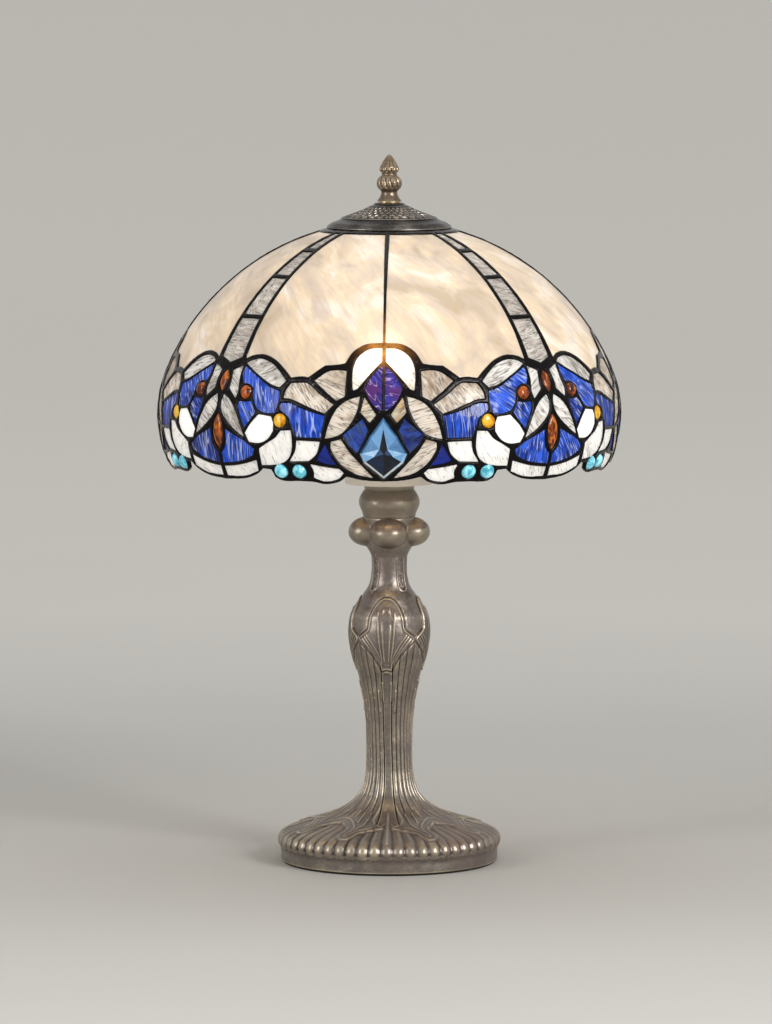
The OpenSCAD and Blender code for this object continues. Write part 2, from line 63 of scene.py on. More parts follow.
def profile_angle(z):
    z = np.asarray(z, float)
    crown = np.arcsin(np.clip((z - CROWN_Z) / CROWN_R, -1, 1))
    skirt = np.arcsin(np.clip((z - SKIRT_Z) / SKIRT_R, -1, 1))
    return np.where(z > JOIN_Z, crown, skirt)


def angle_to_s(a):
    return np.where(a > JOIN, JOIN_S + CROWN_R * (a - JOIN), SKIRT_R * a)


def s_to_angle(s):
    s = np.asarray(s, float)
    return np.where(s > JOIN_S, JOIN + (s - JOIN_S) / CROWN_R, s / SKIRT_R)


def shade_point(t, s, depth):
    """Points in mm at a depth under the shade's outer face."""
    a = s_to_angle(s)
    crown = a > JOIN
    arc = np.where(crown, CROWN_R, SKIRT_R) - depth
    r = np.where(crown, 0, SKIRT_X) + arc * np.cos(a)
    z = np.where(crown, CROWN_Z, SKIRT_Z) + arc * np.sin(a)
    return turned_point(t, r, z)


def turned_point(t, r, z):
    """Points from an angle about Z from the front, a radius and a height."""
    return np.stack([r * np.sin(t), -r * np.cos(t), z], -1)


def noise3(points, cell, seed=0):
    """A smooth random field from -1 to 1 at points in mm, with features about one cell wide."""
    p = np.asarray(points, float) / cell
    low = np.floor(p).astype(np.int64)
    f = p - low
    f = f * f * (3 - 2 * f)
    total = np.zeros(p.shape[:-1])
    for corner in product((0, 1), repeat=3):
        k = low + np.array(corner)
        h = k[..., 0] * 73856093 ^ k[..., 1] * 19349663 ^ k[..., 2] * 83492791 ^ (seed * 7919 + 17)
        h = ((h ^ (h >> 13)) * 1274126177) & 0x7FFFFFFF
        h = ((h ^ (h >> 15)) * 1103515245) & 0x7FFFFFFF
        weight = np.prod(np.where(np.array(corner), f, 1 - f), -1)
        total += weight * ((h >> 8 & 0xFFFF) / 32767.5 - 1)
    return total


# ---- pattern of the glass
# Visible outlines in the half unit from 0 to 45 degrees, as (degrees, height in mm).
PATTERN = {
    "arch_petals": [[(0.6, 457), (3.5, 456.5), (5.8, 453), (7.2, 448), (7.9, 441), (7.9, 432),
        (7.6, 423), (6.6, 424.5), (4.8, 431.5), (3, 438.5), (0.6, 446.5)]],
    "bud_petals": [[(0.4, 443), (2.2, 437.5), (3.9, 430), (4.6, 424), (3.2, 414.5),
        (1.2, 407.5), (0.4, 406.5)]],
    "iridescent_diamonds": [[(4.7, 417.5), (5.5, 405), (3.3, 396.5), (1.8, 403)]],
    "medallion_leaves": [[(5.8, 418), (8.2, 415.5), (10.4, 411), (12, 404), (13.3, 394),
        (14.2, 382.5), (12.2, 384), (10, 387.5), (7.8, 396.5), (6.4, 407)]],
    "medallion_blues": [[(5, 399.5), (7, 393.5), (9.6, 386), (8.3, 377.5), (6.4, 371),
        (5.2, 378), (3.7, 390)]],
    "clear_crescents": [[(10.3, 382), (12.8, 379.5), (12.8, 374.5), (11.8, 367), (9.9, 359),
        (6.6, 352), (2.6, 349), (6, 362), (8.4, 371.5)]],
    "deep_blue_points": [[(14.2, 378), (15.5, 370.5), (16.6, 363.5), (14.5, 361),
        (11.6, 359.8), (13, 367)]],
    "shoulder_petals": [[(9.6, 438.5), (12, 439.2), (14.5, 437.8), (17.6, 430.5), (14.5, 422),
        (11.6, 414.5), (9.6, 418)],
        [(19.5, 428), (21.5, 428.3), (23.8, 427.8), (25, 422), (25.4, 415.5), (23.4, 415),
        (20.5, 411.5), (17, 406.8), (14.4, 403.8), (12.3, 411), (16, 419.5)]],
    "streaky_blues": [[(14.4, 401.5), (17.5, 404), (21, 408), (23.5, 411.3), (26, 411),
        (26, 405.5), (23.5, 399), (22.6, 391.5), (21.6, 383.2), (15.3, 383)]],
    "lower_petals": [[(15.5, 379.5), (21.5, 380), (22, 371), (23.7, 362), (18.6, 363),
        (16.6, 369)],
        [(23, 388.5), (25.7, 387.8), (27.3, 381.5), (29.5, 377), (32, 371.8), (31.8, 357.5),
        (28.5, 358.3), (25.4, 361), (23.6, 366.5), (22.8, 376)]],
    "rim_scallops": [[(10, 353), (11, 356.3), (15, 358), (18.3, 360), (17.6, 354),
        (17.8, 348.3), (14.8, 345.5), (11.5, 347.8)],
        [(33.2, 361.5), (37, 357.8), (40.5, 355.5), (44.3, 354.2), (44.2, 346.2), (38, 347.2),
        (33.3, 352.3)]],
    "wing_petals": [[(25.5, 429.5), (28, 437), (31, 443.5), (34.5, 446.3), (37.5, 444.8),
        (38.8, 442.3), (34.5, 434.5), (29.5, 426.5), (27, 424.3)]],
    "wing_blues": [[(26.8, 421), (29.8, 424), (34, 431.5), (38.9, 439.8), (38.9, 432),
        (38.2, 426.5), (36, 425.5), (34.3, 422), (34.2, 417), (33.6, 411), (32.5, 405),
        (30, 402.5), (27.4, 403), (26.7, 412)],
        [(34.6, 411.5), (36.5, 410.6), (38.4, 411), (38.4, 406), (36.2, 389), (33, 402.5)]],
    "wing_clears": [[(39.8, 440.3), (42.8, 436), (42.3, 427.5), (42.3, 421), (39.7, 413.5),
        (39.3, 420), (39.8, 430)]],
    "wing_leaves": [[(43.8, 416), (41.6, 411.5), (39.8, 405), (38, 394), (36.3, 381),
        (38.4, 385), (41.2, 392), (43.6, 400.5), (44.3, 409)]],
    "white_pentagons": [[(28.4, 399.5), (32, 400.8), (34.2, 393), (36, 384.5), (34.8, 377),
        (31.8, 376.8), (29.4, 380.5), (27.8, 387.5), (27.8, 393.5)]],
    "fan_blues": [[(42.4, 386.5), (39.5, 382), (36.5, 377.5), (33.6, 371), (34.2, 366),
        (37, 361.5), (40.5, 358.8), (44.4, 357.3), (44.4, 366), (43.2, 369.5), (42.4, 377)]],
    "cream_panels": [[(1.9, 546), (1.1, 530), (0.6, 505), (0.4, 480), (0.4, 461.8),
        (5, 460.5), (8.3, 454.5), (10.2, 445), (12, 444), (15.5, 443), (17.8, 437.5),
        (19.5, 433.2), (21.5, 433.8), (24.2, 432.5), (26.5, 439), (30, 446.5), (34, 450.3),
        (37.5, 449.2), (39.6, 446.2), (39.8, 470), (39.7, 500), (39.4, 525), (38.6, 546)]],
    "rib_glass": [[(41.3, 447), (45, 442.5), (48.7, 447), (48.7, 478), (41.3, 478)],
        [(41.3, 481.5), (48.7, 481.5), (48.7, 510.5), (41.3, 510.5)],
        [(41.4, 513.5), (48.6, 513.5), (48.6, 531.5), (41.4, 531.5)],
        [(42, 534.5), (48, 534.5), (48, 546), (42, 546)]],
}
KITE = [(0, 401), (3.5, 384), (5.8, 370), (4.9, 362), (0, 348), (-4.9, 362), (-5.8, 370),
    (-3.5, 384)]
RIM = [(0, 345.8), (5, 346.8), (9.3, 349.8), (11.3, 345.2), (14.8, 342.8), (18, 344.5),
    (21.5, 344.8), (26.5, 344.6), (28.5, 347.5), (29.3, 354), (31.8, 354.5), (33.8, 349.5),
    (38, 344.8), (45, 342.8)]
# Round jewels as (degrees, height, radius) and marquises as (height, half height, half width).
SPOTS = {"yellow_jewels": [(26, 396.5, 6)], "amber_cabochons": [(36.7, 419, 6)],
    "teal_cabochons": [(21.5, 353.3, 6.3), (26.5, 353, 6.3)]}
MARQUISES = [(427.5, 9.5, 4.8), (384.5, 15.5, 6)]
CORNER_TURN, CURVE_STEP = math.radians(36), 1.2


def places(outline):
    """(t, s) places of an outline's points."""
    t = np.radians([p[0] for p in outline])
    return np.stack([t, angle_to_s(profile_angle([p[1] for p in outline]))], -1)


def mean_radius(ts):
    a = s_to_angle(ts[:, 1].mean())
    return float(CROWN_R * math.cos(a) if a > JOIN else SKIRT_X + SKIRT_R * math.cos(a))


def smooth(ts, closed=True):
    """A curve through the points that keeps their sharp corners."""
    scale = np.array([mean_radius(ts), 1])
    p = ts * scale
    n = len(p)

    def at(i):
        return p[i % n] if closed else p[min(max(i, 0), n - 1)]

    def is_corner(i):
        if not closed and (i <= 0 or i >= n - 1):
            return True
        a, b = at(i) - at(i - 1), at(i + 1) - at(i)
        turn = math.atan2(a[0] * b[1] - a[1] * b[0], float(a @ b))
        return abs(turn) > CORNER_TURN

    out = []
    for i in range(n if closed else n - 1):
        b, c = at(i), at(i + 1)
        a = 2 * b - c if is_corner(i) else at(i - 1)
        d = 2 * c - b if is_corner(i + 1) else at(i + 2)
        chord = np.linalg.norm(c - b)
        tangent_b = (c - a) * chord / max(np.linalg.norm(b - a) + chord, 1e-9)
        tangent_c = (d - b) * chord / max(np.linalg.norm(d - c) + chord, 1e-9)
        for k in np.arange(0, 1, min(0.5, CURVE_STEP / max(chord, 1e-9))):
            h1, h2 = 2 * k ** 3 - 3 * k * k + 1, k ** 3 - 2 * k * k + k
            out.append(h1 * b + h2 * tangent_b + (1 - h1) * c + (k ** 3 - k * k) * tangent_c)
    if not closed:
        out.append(p[-1])
    return np.array(out) / scale


def circle_outline(t_deg, z, radius):
    c = places([(t_deg, z)])[0]
    a = np.linspace(0, TURN, 48, endpoint=False)
    r = mean_radius(c[None])
    return np.stack([c[0] + radius * np.cos(a) / r, c[1] + radius * np.sin(a)], -1)


def lens_outline(z, half_h, half_w):
    c = places([(45, z)])[0]
    r = (half_h ** 2 + half_w ** 2) / (2 * half_w)
    a = np.linspace(-1, 1, 24, endpoint=False) * math.asin(half_h / r)
    x, y = r * np.cos(a) - (r - half_w), r * np.sin(a)
    x, y = np.concatenate([x, -x]), np.concatenate([y, -y])
    return np.stack([c[0] + x / mean_radius(c[None]), c[1] + y], -1)


# ---- field on the half unit
CELL = 0.7
S_LOW = float(angle_to_s(profile_angle(339)))
S_HIGH = float(angle_to_s(np.array(math.acos(RING_R / CROWN_R))))
T_LINE = np.linspace(0, math.pi / 4, 225)
S_LINE = np.linspace(S_LOW, S_HIGH, int((S_HIGH - S_LOW) / CELL))
GRID_T, GRID_S = np.meshgrid(T_LINE, S_LINE, indexing="ij")
MIDDLE = (GLASS_FRONT + GLASS_BACK) / 2
GRID_P = shade_point(GRID_T, GRID_S, MIDDLE)
REACH = 7.0


def near_distance(points, line, closed=True):
    """Distance from each point to a polyline, both in mm."""
    a = line if closed else line[:-1]
    b = np.roll(line, -1, 0) if closed else line[1:]
    ab = b - a
    best = np.full(len(points), 1e9)
    for p0, d in zip(a, ab):
        k = np.clip(((points - p0) @ d) / max(d @ d, 1e-12), 0, 1)
        best = np.minimum(best, ((points - p0 - k[:, None] * d) ** 2).sum(-1))
    return np.sqrt(best)


def is_inside(t, s, ts):
    odd = np.zeros(t.shape, bool)
    for (t0, s0), (t1, s1) in zip(ts, np.roll(ts, -1, 0)):
        crosses = (s0 > s) != (s1 > s)
        odd ^= crosses & (t < (t1 - t0) * (s - s0) / ((s1 - s0) or 1e-12) + t0)
    return odd


def piece_field(ts):
    """Distance to an outline over the half unit's grid, positive inside it, and -REACH far off."""
    field = np.full(GRID_T.shape, -REACH)
    margin_t = REACH / mean_radius(ts) * 1.3
    i0, i1 = np.searchsorted(T_LINE, [ts[:, 0].min() - margin_t, ts[:, 0].max() + margin_t])
    j0, j1 = np.searchsorted(S_LINE, [ts[:, 1].min() - REACH, ts[:, 1].max() + REACH])
    if i0 >= i1:
        return field
    box = (slice(i0, i1), slice(j0, j1))
    t, s = GRID_T[box].ravel(), GRID_S[box].ravel()
    line = shade_point(ts[:, 0], ts[:, 1], MIDDLE)
    d = near_distance(GRID_P[box].reshape(-1, 3), line)
    field[box] = np.where(is_inside(t, s, ts), d, -np.minimum(d, REACH)).reshape(GRID_T[box].shape)
    return field


def fill_region(field, level, step, t_line=T_LINE, s_line=S_LINE):
    """Places, field values and faces of the part of the grid where field is over level."""
    f = field[::step, ::step] - level
    t_line, s_line = t_line[::step], s_line[::step]
    inside = f > 0
    cells = inside[:-1, :-1] | inside[1:, :-1] | inside[:-1, 1:] | inside[1:, 1:]
    index, spots, values, faces = {}, [], [], []

    def vertex(key, t, s, v):
        if key not in index:
            index[key] = len(spots)
            spots.append((t, s))
            values.append(v)
        return index[key]

    for i, j in np.argwhere(cells):
        ring = ((i, j), (i + 1, j), (i + 1, j + 1), (i, j + 1))
        face = []
        for (p, q), (u, v) in zip(ring, ring[1:] + ring[:1]):
            a, b = f[p, q], f[u, v]
            if a > 0:
                face.append(vertex((p, q), t_line[p], s_line[q], a))
            if (a > 0) != (b > 0):
                k = min(max(a / (a - b), 0.06), 0.94)
                key = (p, q, u, v) if (p, q) < (u, v) else (u, v, p, q)
                face.append(vertex(key, t_line[p] + k * (t_line[u] - t_line[p]),
                        s_line[q] + k * (s_line[v] - s_line[q]), 0.0))
        if len(face) > 2:
            faces.append(face)
    return np.array(spots).reshape(-1, 2), np.array(values) + level, faces


def turned_copies(spots, values, faces, turns=4):
    """The half unit mirrored and turned round the axis, with shared edges joined."""
    t_all, s_all, v_all, f_all = [], [], [], []
    for q, hand in product(range(turns), (1, -1)):
        base = sum(len(x) for x in t_all)
        t_all.append(hand * spots[:, 0] + q * TURN / turns)
        s_all.append(spots[:, 1])
        v_all.append(values)
        f_all += [[base + k for k in (f if hand > 0 else f[::-1])] for f in faces]
    t, s, v = np.concatenate(t_all), np.concatenate(s_all), np.concatenate(v_all)
    keys = np.round(np.stack([np.cos(t), np.sin(t), s / 100], -1), 6) + 0.0
    _, first, back = np.unique(keys, axis=0, return_index=True, return_inverse=True)
    back = back.ravel()
    return t[first], s[first], v[first], [[int(back[k]) for k in f] for f in f_all]


def islands(count, faces):
    """The number of the island that each vertex is on."""
    parent = list(range(count))

    def root(k):
        while parent[k] != k:
            parent[k] = parent[parent[k]]
            k = parent[k]
        return k

    for f in faces:
        a = root(f[0])
        for k in f[1:]:
            b = root(k)
            if a != b:
                parent[max(a, b)] = min(a, b)
                a = min(a, b)
    roots = np.array([root(k) for k in range(count)])
    return np.unique(roots, return_inverse=True)[1].ravel()


def boundary(faces):
    """Directed edges with a face on one side only."""
    seen = {}
    for f in faces:
        for a, b in zip(f, f[1:] + f[:1]):
            seen[(a, b)] = True
    return [(a, b) for (a, b) in seen if (b, a) not in seen]


def mesh_object(name, points, faces, material, smooth_shade=True):
    mesh = bpy.data.meshes.new(name)
    mesh.from_pydata((np.asarray(points) * MM).tolist(), [], faces)
    mesh.materials.append(material)
    if smooth_shade:
        mesh.polygons.foreach_set("use_smooth", [True] * len(mesh.polygons))
    obj = bpy.data.objects.new(name, mesh)
    bpy.context.scene.collection.objects.link(obj)
    return obj


def closed_sheet(name, outer, inner, faces, material):
    n = len(outer)
    rim = [[b, a, a + n, b + n] for a, b in boundary(faces)]
    back = [[k + n for k in f[::-1]] for f in faces]
    return mesh_object(name, np.concatenate([outer, inner]), faces + back + rim, material)


def shade_sheet(name, fields, level, front, back, material, step, seed=0, lean=(0, 1.1)):
    """A closed sheet on the shade wherever one of the fields is over level. front and back give
    the depth of its two faces from the field's value and the point in mm. The glass's streaks
    lean by the first angle, give or take the second."""
    t, s, v, faces = [], [], [], []
    for field in fields:
        spots, values, part = fill_region(field, level, step)
        a, b, c, part = turned_copies(spots, values, part)
        base = sum(len(x) for x in t)
        t.append(a), s.append(b), v.append(c)
        faces += [[base + k for k in f] for f in part]
    t, s, v = np.concatenate(t), np.concatenate(s), np.concatenate(v)
    flat = shade_point(t, s, MIDDLE)
    outer = shade_point(t, s, front(v, flat))
    inner = shade_point(t, s, back(v, flat))
    obj = closed_sheet(name, outer, inner, faces, material)
    group = islands(len(t), faces)
    rng = np.random.default_rng(seed)
    spin = lean[0] + rng.uniform(-1, 1, group.max() + 1) * lean[1]
    tint = rng.uniform(0, 1, group.max() + 1)
    centre_t = np.array([t[group == g].mean() for g in range(group.max() + 1)])
    x = (t - centre_t[group]) * np.hypot(flat[:, 0], flat[:, 1])
    c, w = np.cos(spin[group]), np.sin(spin[group])
    u = np.stack([c * x - w * s, w * x + c * s, tint[group] * 400], -1) / 10
    add_attribute(obj, "glass_place", np.concatenate([u, u]))
    add_attribute(obj, "glass_tint", np.concatenate([tint[group]] * 2))
    return obj


def add_attribute(obj, name, values):
    kind, key = ("FLOAT_VECTOR", "vector") if np.ndim(values) == 2 else ("FLOAT", "value")
    layer = obj.data.attributes.new(name, kind, "POINT")
    layer.data.foreach_set(key, np.asarray(values, np.float32).ravel())


# ---- node materials
class Nodes:
    """A short way to build a node material."""

    def __init__(self, name):
        self.material = bpy.data.materials.new(name)
        self.material.use_nodes = True
        self.tree = self.material.node_tree
        self.tree.nodes.clear()
        self.out = self.tree.nodes.new("ShaderNodeOutputMaterial")

    def add(self, kind, inputs=None, **settings):
        node = self.tree.nodes.new("ShaderNode" + kind)
        for key, value in settings.items():
            setattr(node, key, value)
        for key, value in (inputs or {}).items():
            self.set(node.inputs[key], value)
        return node

    def set(self, socket, value):
        if isinstance(value, bpy.types.Node):
            value = value.outputs[0]
        if isinstance(value, bpy.types.NodeSocket):
            self.tree.links.new(value, socket)
        elif isinstance(value, tuple) and len(value) == 3 and socket.type == "RGBA":
            socket.default_value = (*value, 1)
        else:
            socket.default_value = value

    def math(self, operation, a, b=0.0, c=0.0, clamp=False):
        node = self.add("Math", operation=operation, use_clamp=clamp)
        for socket, value in zip(node.inputs, (a, b, c)):
            self.set(socket, value)
        return node

    def scaled(self, value, by, plus=0.0, clamp=False):
        return self.math("MULTIPLY_ADD", value, by, plus, clamp)

    def mix(self, factor, a, b, blend="MIX"):
        node = self.add("Mix", data_type="RGBA", blend_type=blend)
        self.set(node.inputs[0], factor)
        self.set(node.inputs[6], a)
        self.set(node.inputs[7], b)
        return node.outputs[2]

    def coords(self, scale=(1, 1, 1), source=None):
        source = source or self.add("TexCoord").outputs["Object"]
        return self.add("Mapping", {"Vector": source, "Scale": scale})

    def attribute(self, name):
        return self.add("Attribute", attribute_name=name)

    def noise(self, vector, scale, detail=3.0, rough=0.5, distortion=0.0):
        return self.add("TexNoise", {"Vector": vector, "Scale": scale, "Detail": detail,
                "Roughness": rough, "Distortion": distortion})

    def ramp(self, factor, stops):
        node = self.add("ValToRGB", {"Fac": factor})
        ramp = node.color_ramp
        while len(ramp.elements) < len(stops):
            ramp.elements.new(0.5)
        for element, (place, colour) in zip(ramp.elements, stops):
            element.position = place
            element.color = (*colour, 1)
        return node

    def mask(self, factor, low, high, most=1.0):
        """Black up to one level and grey from another."""
        return self.ramp(factor, [(low, grey(0)), (high, grey(most))])

    def bump(self, height, strength, distance):
        return self.add("Bump", {"Height": height, "Strength": strength, "Distance": distance})

    def finish(self, shader):
        self.tree.links.new(shader.outputs[0], self.out.inputs["Surface"])
        return self.material


def grey(v):
    return (v, v, v)


LIT_Z = 0.456  # metres: the level at which the bulbs light the shade from behind


def lit_spot(n, radius):
    """How near a point is to the places on the shade that hide the lit bulbs, from 0 to 1."""
    place = n.add("Mapping", {"Vector": n.add("TexCoord").outputs["Object"],
            "Location": (0, 0, -LIT_Z / radius),
            "Scale": (1 / radius, 0, 1 / radius)})
    far = n.add("VectorMath", {0: place}, operation="LENGTH").outputs["Value"]
    return n.math("EXPONENT", n.math("MULTIPLY", n.math("MULTIPLY", far, far), -1.0))


def threads(n, place, shape, seed, width):
    """Thin wandering threads across the glass, from 0 to 1."""
    shifted = n.add("Mapping", {
        "Vector": place, "Location": (seed, seed * 0.7, 0), "Scale": shape})
    field = n.noise(shifted, 1, 1.2, 0.45, 0.3)
    off = n.math("ABSOLUTE", n.math("SUBTRACT", field, 0.5))
    patch = n.noise(n.coords((1, 1, 1), place), 0.9, 1)
    wide = n.math("MULTIPLY", n.mask(patch, 0.3, 0.52), width)
    return n.math("SUBTRACT", 1.0, n.math("DIVIDE", off, n.math("ADD", wide, 0.0005)), clamp=True)


def lit_through(n, through, face, colour, bump=None):
    """Glass whose face lets a share of the light through in its own colour."""
    back = n.add("BsdfTranslucent", {"Color": colour, **({"Normal": bump} if bump else {})})
    return n.finish(n.add("MixShader", {0: through, 1: face, 2: back}))


def glass(name, stops, dark=(0.1, 0.08, 0.06), light=None, cloud=0.9, shape=(0.5, 5, 1),
        width=0.065, through=0.4, inner=0.12, painted_hot_spot=0.0, shimmer=None):
    """Art glass: a glossy rippled face over clouded, threaded glass that lets light through. Its
    face glows a little all over and brightly in a spot in front of each bulb: painted light from
    inside the shade.
    """
    n = Nodes(name)
    place = n.attribute("glass_place").outputs["Vector"]
    tint = n.attribute("glass_tint").outputs["Fac"]
    clouds = n.noise(n.coords((0.5, 1.2, 1), place), cloud, 5, 0.6, 0.8)
    level = n.scaled(n.math("SUBTRACT", tint, 0.5), 0.16, clouds)
    colour = n.ramp(level, stops).outputs[0]
    if shimmer:
        wide = n.noise(place, 0.7, 2)
        colour = n.mix(n.mask(wide, 0.46, 0.62, 0.9), colour, shimmer)
    thin = threads(n, place, shape, 3.0, width)
    colour = n.mix(n.math("MULTIPLY", thin, 0.85), colour, dark)
    height = thin
    # The pale threads are partly white streaks in the glass and partly painted glints of light on
    # its ripples.
    if light:
        pale = threads(n, place, shape, 11.0, width * 0.8)
        colour = n.mix(n.math("MULTIPLY", pale, 0.9), colour, light)
        height = n.math("ADD", thin, pale)
    swell = n.noise(n.coords((shape[0], shape[1] * 0.6, 1), place), 1, 2)
    height = n.scaled(swell, 2.0, n.math("MULTIPLY", height, -0.4))
    bump = n.bump(height, 0.35, 0.0012)
    # Painted light: an even glow, plus a bright painted hot spot where the bulbs stand behind the
    # glass.
    painted_glow_level = n.scaled(lit_spot(n, 0.019), painted_hot_spot, inner)
    face = n.add("BsdfPrincipled", {
            "Base Color": colour, "Roughness": 0.12, "IOR": 1.5, "Specular IOR Level": 0.35,
            "Coat Weight": 0.175, "Coat Roughness": 0.04, "Transmission Weight": 0.15,
            "Emission Color": n.mix(0.35, colour, (1.0, 0.86, 0.68)) if painted_hot_spot else colour,
            "Emission Strength": painted_glow_level, "Normal": bump})
    return lit_through(n, through, face, colour, bump)


def cream_glass(name):
    """Warm opal glass: wide soft clouds with faint streaks, lit through by the bulbs, with a
    painted glow all over and a brighter painted hot spot in front of each bulb.
    """
    n = Nodes(name)
    place = n.attribute("glass_place").outputs["Vector"]
    tint = n.attribute("glass_tint").outputs["Fac"]
    clouds = n.noise(n.coords((0.8, 1.1, 1), place), 0.24, 3, 0.55, 0.7)
    level = n.scaled(n.math("SUBTRACT", tint, 0.5), 0.12, clouds)
    colour = n.ramp(level, [(0.32, (0.5, 0.4, 0.27)), (0.42, (0.64, 0.53, 0.42)),
            (0.52, (0.75, 0.61, 0.43)), (0.64, (0.83, 0.75, 0.65))]).outputs[0]
    dusk = n.noise(n.coords((0.5, 1.6, 1), place), 0.35, 4, 0.6, 1.2)
    colour = n.mix(n.mask(dusk, 0.5, 0.72, 0.6), colour, (0.5, 0.42, 0.38))
    fine = n.noise(n.coords((0.35, 3.0, 1), place), 0.9, 4, 0.6, 0.5)
    colour = n.mix(n.ramp(fine, [(0.35, grey(0.3)), (0.6, grey(0))]), colour, (0.5, 0.4, 0.3))
    bump = n.bump(n.math("ADD", fine, n.math("MULTIPLY", clouds, 2.0)), 0.25, 0.0012)
    # Painted light: an even glow and a spot that brightens where the bulbs shine through.
    painted_glow_level = n.scaled(lit_spot(n, 0.04), 0.03, 0.21)
    painted_glow_level = n.scaled(lit_spot(n, 0.015), 0.9, painted_glow_level)
    face = n.add("BsdfPrincipled", {
            "Base Color": colour, "Roughness": 0.16, "IOR": 1.5, "Specular IOR Level": 0.4,
            "Coat Weight": 0.25, "Coat Roughness": 0.05, "Transmission Weight": 0.1,
            "Emission Color": n.mix(0.3, colour, (1.0, 0.82, 0.6)), "Emission Strength": painted_glow_level,
            "Normal": bump})
    return lit_through(n, 0.18, face, colour, bump)


PALE = [(0.3, (0.45, 0.42, 0.39)), (0.42, (0.7, 0.67, 0.63)), (0.54, (0.92, 0.91, 0.89))]
WARM = [(0.3, (0.42, 0.32, 0.24)), (0.42, (0.62, 0.53, 0.43)), (0.56, (0.88, 0.82, 0.74))]
WHITE = [(0.28, (0.72, 0.7, 0.68)), (0.4, (0.95, 0.95, 0.94))]
COBALT = [(0.28, (0.003, 0.008, 0.08)), (0.42, (0.006, 0.032, 0.3)), (0.54, (0.014, 0.085, 0.58)),
    (0.7, (0.06, 0.18, 0.85))]
NAVY, ICE = (0.002, 0.005, 0.04), (0.6, 0.68, 0.95)


# ---- turned castings
def distance_along(line):
    return np.concatenate([[0], np.cumsum(np.linalg.norm(np.diff(line, axis=0), axis=1))])


def resample(points, spacing):
    """A polyline with even steps that rounds the corners a little."""
    p = np.array(points, float)
    run = distance_along(p)
    at = np.linspace(0, run[-1], max(int(run[-1] / spacing), 2))
    return np.stack([np.interp(at, run, p[:, k]) for k in (0, 1)], -1)


def soften(p, rounds):
    for _ in range(rounds):
        p = np.concatenate([p[:1], (p[:-2] + 2 * p[1:-1] + p[2:]) / 4, p[-1:]])
    return p


def step_up(x, a, b):
    k = np.clip((x - a) / (b - a), 0, 1)
    return k * k * (3 - 2 * k)


def ridge(d, width):
    return np.exp(-(d / width) ** 2)


def profile(points, spacing, rounds):
    """A smoothed line of (r, z) and its unit normals, to the right of its direction."""
    line = soften(resample(points, spacing), rounds)
    normal = np.gradient(line, axis=0)
    normal = np.stack([normal[:, 1], -normal[:, 0]], -1)
    return line, normal / np.linalg.norm(normal, axis=1)[:, None]


def turned(name, outer, inner, relief, count, material, spacing=0.7, rounds=2, level=False):
    """A closed body of revolution about Z, in mm. Its outer wall is pushed out by relief(t, r, z),
    with t from the front, or straight away from Z if level. inner runs from the outer wall's end
    back to its start."""
    line, normal = profile(outer, spacing, rounds)
    if level:
        normal[:] = 1, 0
    t = np.arange(count) * TURN / count
    tt, k = np.meshgrid(t, np.arange(len(line)), indexing="xy")
    r, z = line[k, 0], line[k, 1]
    push = relief(tt, r, z)
    push[0] = push[-1] = 0
    r, z = r + push * normal[k, 0], z + push * normal[k, 1]
    inner = np.array(inner, float).reshape(-1, 2)
    r = np.concatenate([r, np.repeat(inner[:, :1], count, 1)])
    z = np.concatenate([z, np.repeat(inner[:, 1:], count, 1)])
    points = turned_point(np.broadcast_to(t, r.shape), r, z).reshape(-1, 3)
    rows = len(r)
    faces = []
    for i in range(rows):
        a, b = i * count, (i + 1) % rows * count
        faces += [[a + j, a + (j + 1) % count, b + (j + 1) % count, b + j] for j in range(count)]
    return mesh_object(name, points, faces, material)


def fold(t):
    """An angle folded into the half unit from 0 to 45 degrees, in degrees."""
    t = np.degrees(np.abs(t)) % 90
    return np.minimum(t, 90 - t)


def line_distance(lines, points):
    """Distance in mm from points on the base to the nearest of some lines of (degrees, r, z)."""
    best = []
    for line in lines:
        a = np.array(line, float)
        fine = np.linspace(0, len(a) - 1, (len(a) - 1) * 6 + 1)
        t, r, z = (np.interp(fine, np.arange(len(a)), a[:, k]) for k in range(3))
        t, r = soften(np.stack([np.radians(t), r], -1), 4).T
        best.append(near_distance(points, turned_point(t, r, z), closed=False))
    return np.min(best, 0)


BASE_OUTER = [(93.6, 2), (93.6, 12), (94.6, 14.2), (96.4, 17), (96.8, 20), (94.8, 24.6),
    (88.6, 28), (80, 31), (68, 34.3), (55, 38.6), (44, 42.8), (37, 47.5), (31, 53),
    (26.3, 58.5), (23.7, 63.7), (22, 69), (20.3, 79), (19.8, 97), (20.3, 121), (21.5, 131),
    (22.8, 142), (25, 152), (27.1, 162.5), (30.6, 173), (33.2, 183), (34.9, 194), (35.3, 202),
    (34, 214.5), (31, 220), (28, 225), (24.6, 230), (19.8, 235.5), (17.2, 240.5), (15.9, 246),
    (15.3, 251), (15.1, 256), (15.2, 260), (15.4, 263), (15.6, 266)]
BASE_INNER = [(5.2, 266), (5.2, 256), (10.5, 254), (11.5, 240), (18, 228), (27, 216),
    (29.5, 202), (28, 185), (23, 165), (18, 145), (16, 125), (15, 97), (15.5, 79), (18, 63),
    (24, 52), (32, 43), (44, 37), (58, 32.5), (72, 27), (80, 21), (81, 16), (86, 16), (86, 2)]
PROFILE = np.array(BASE_OUTER)


def radius_at(z):
    return np.interp(z, PROFILE[:, 1], PROFILE[:, 0])


def height_at(r):
    part = PROFILE[4:17][::-1]
    return np.interp(r, part[:, 0], part[:, 1])


def on_vase(line):
    return [(t, float(radius_at(z)), z) for t, z in line]


def on_foot(line):
    return [(t, r, float(height_at(r))) for t, r in line]


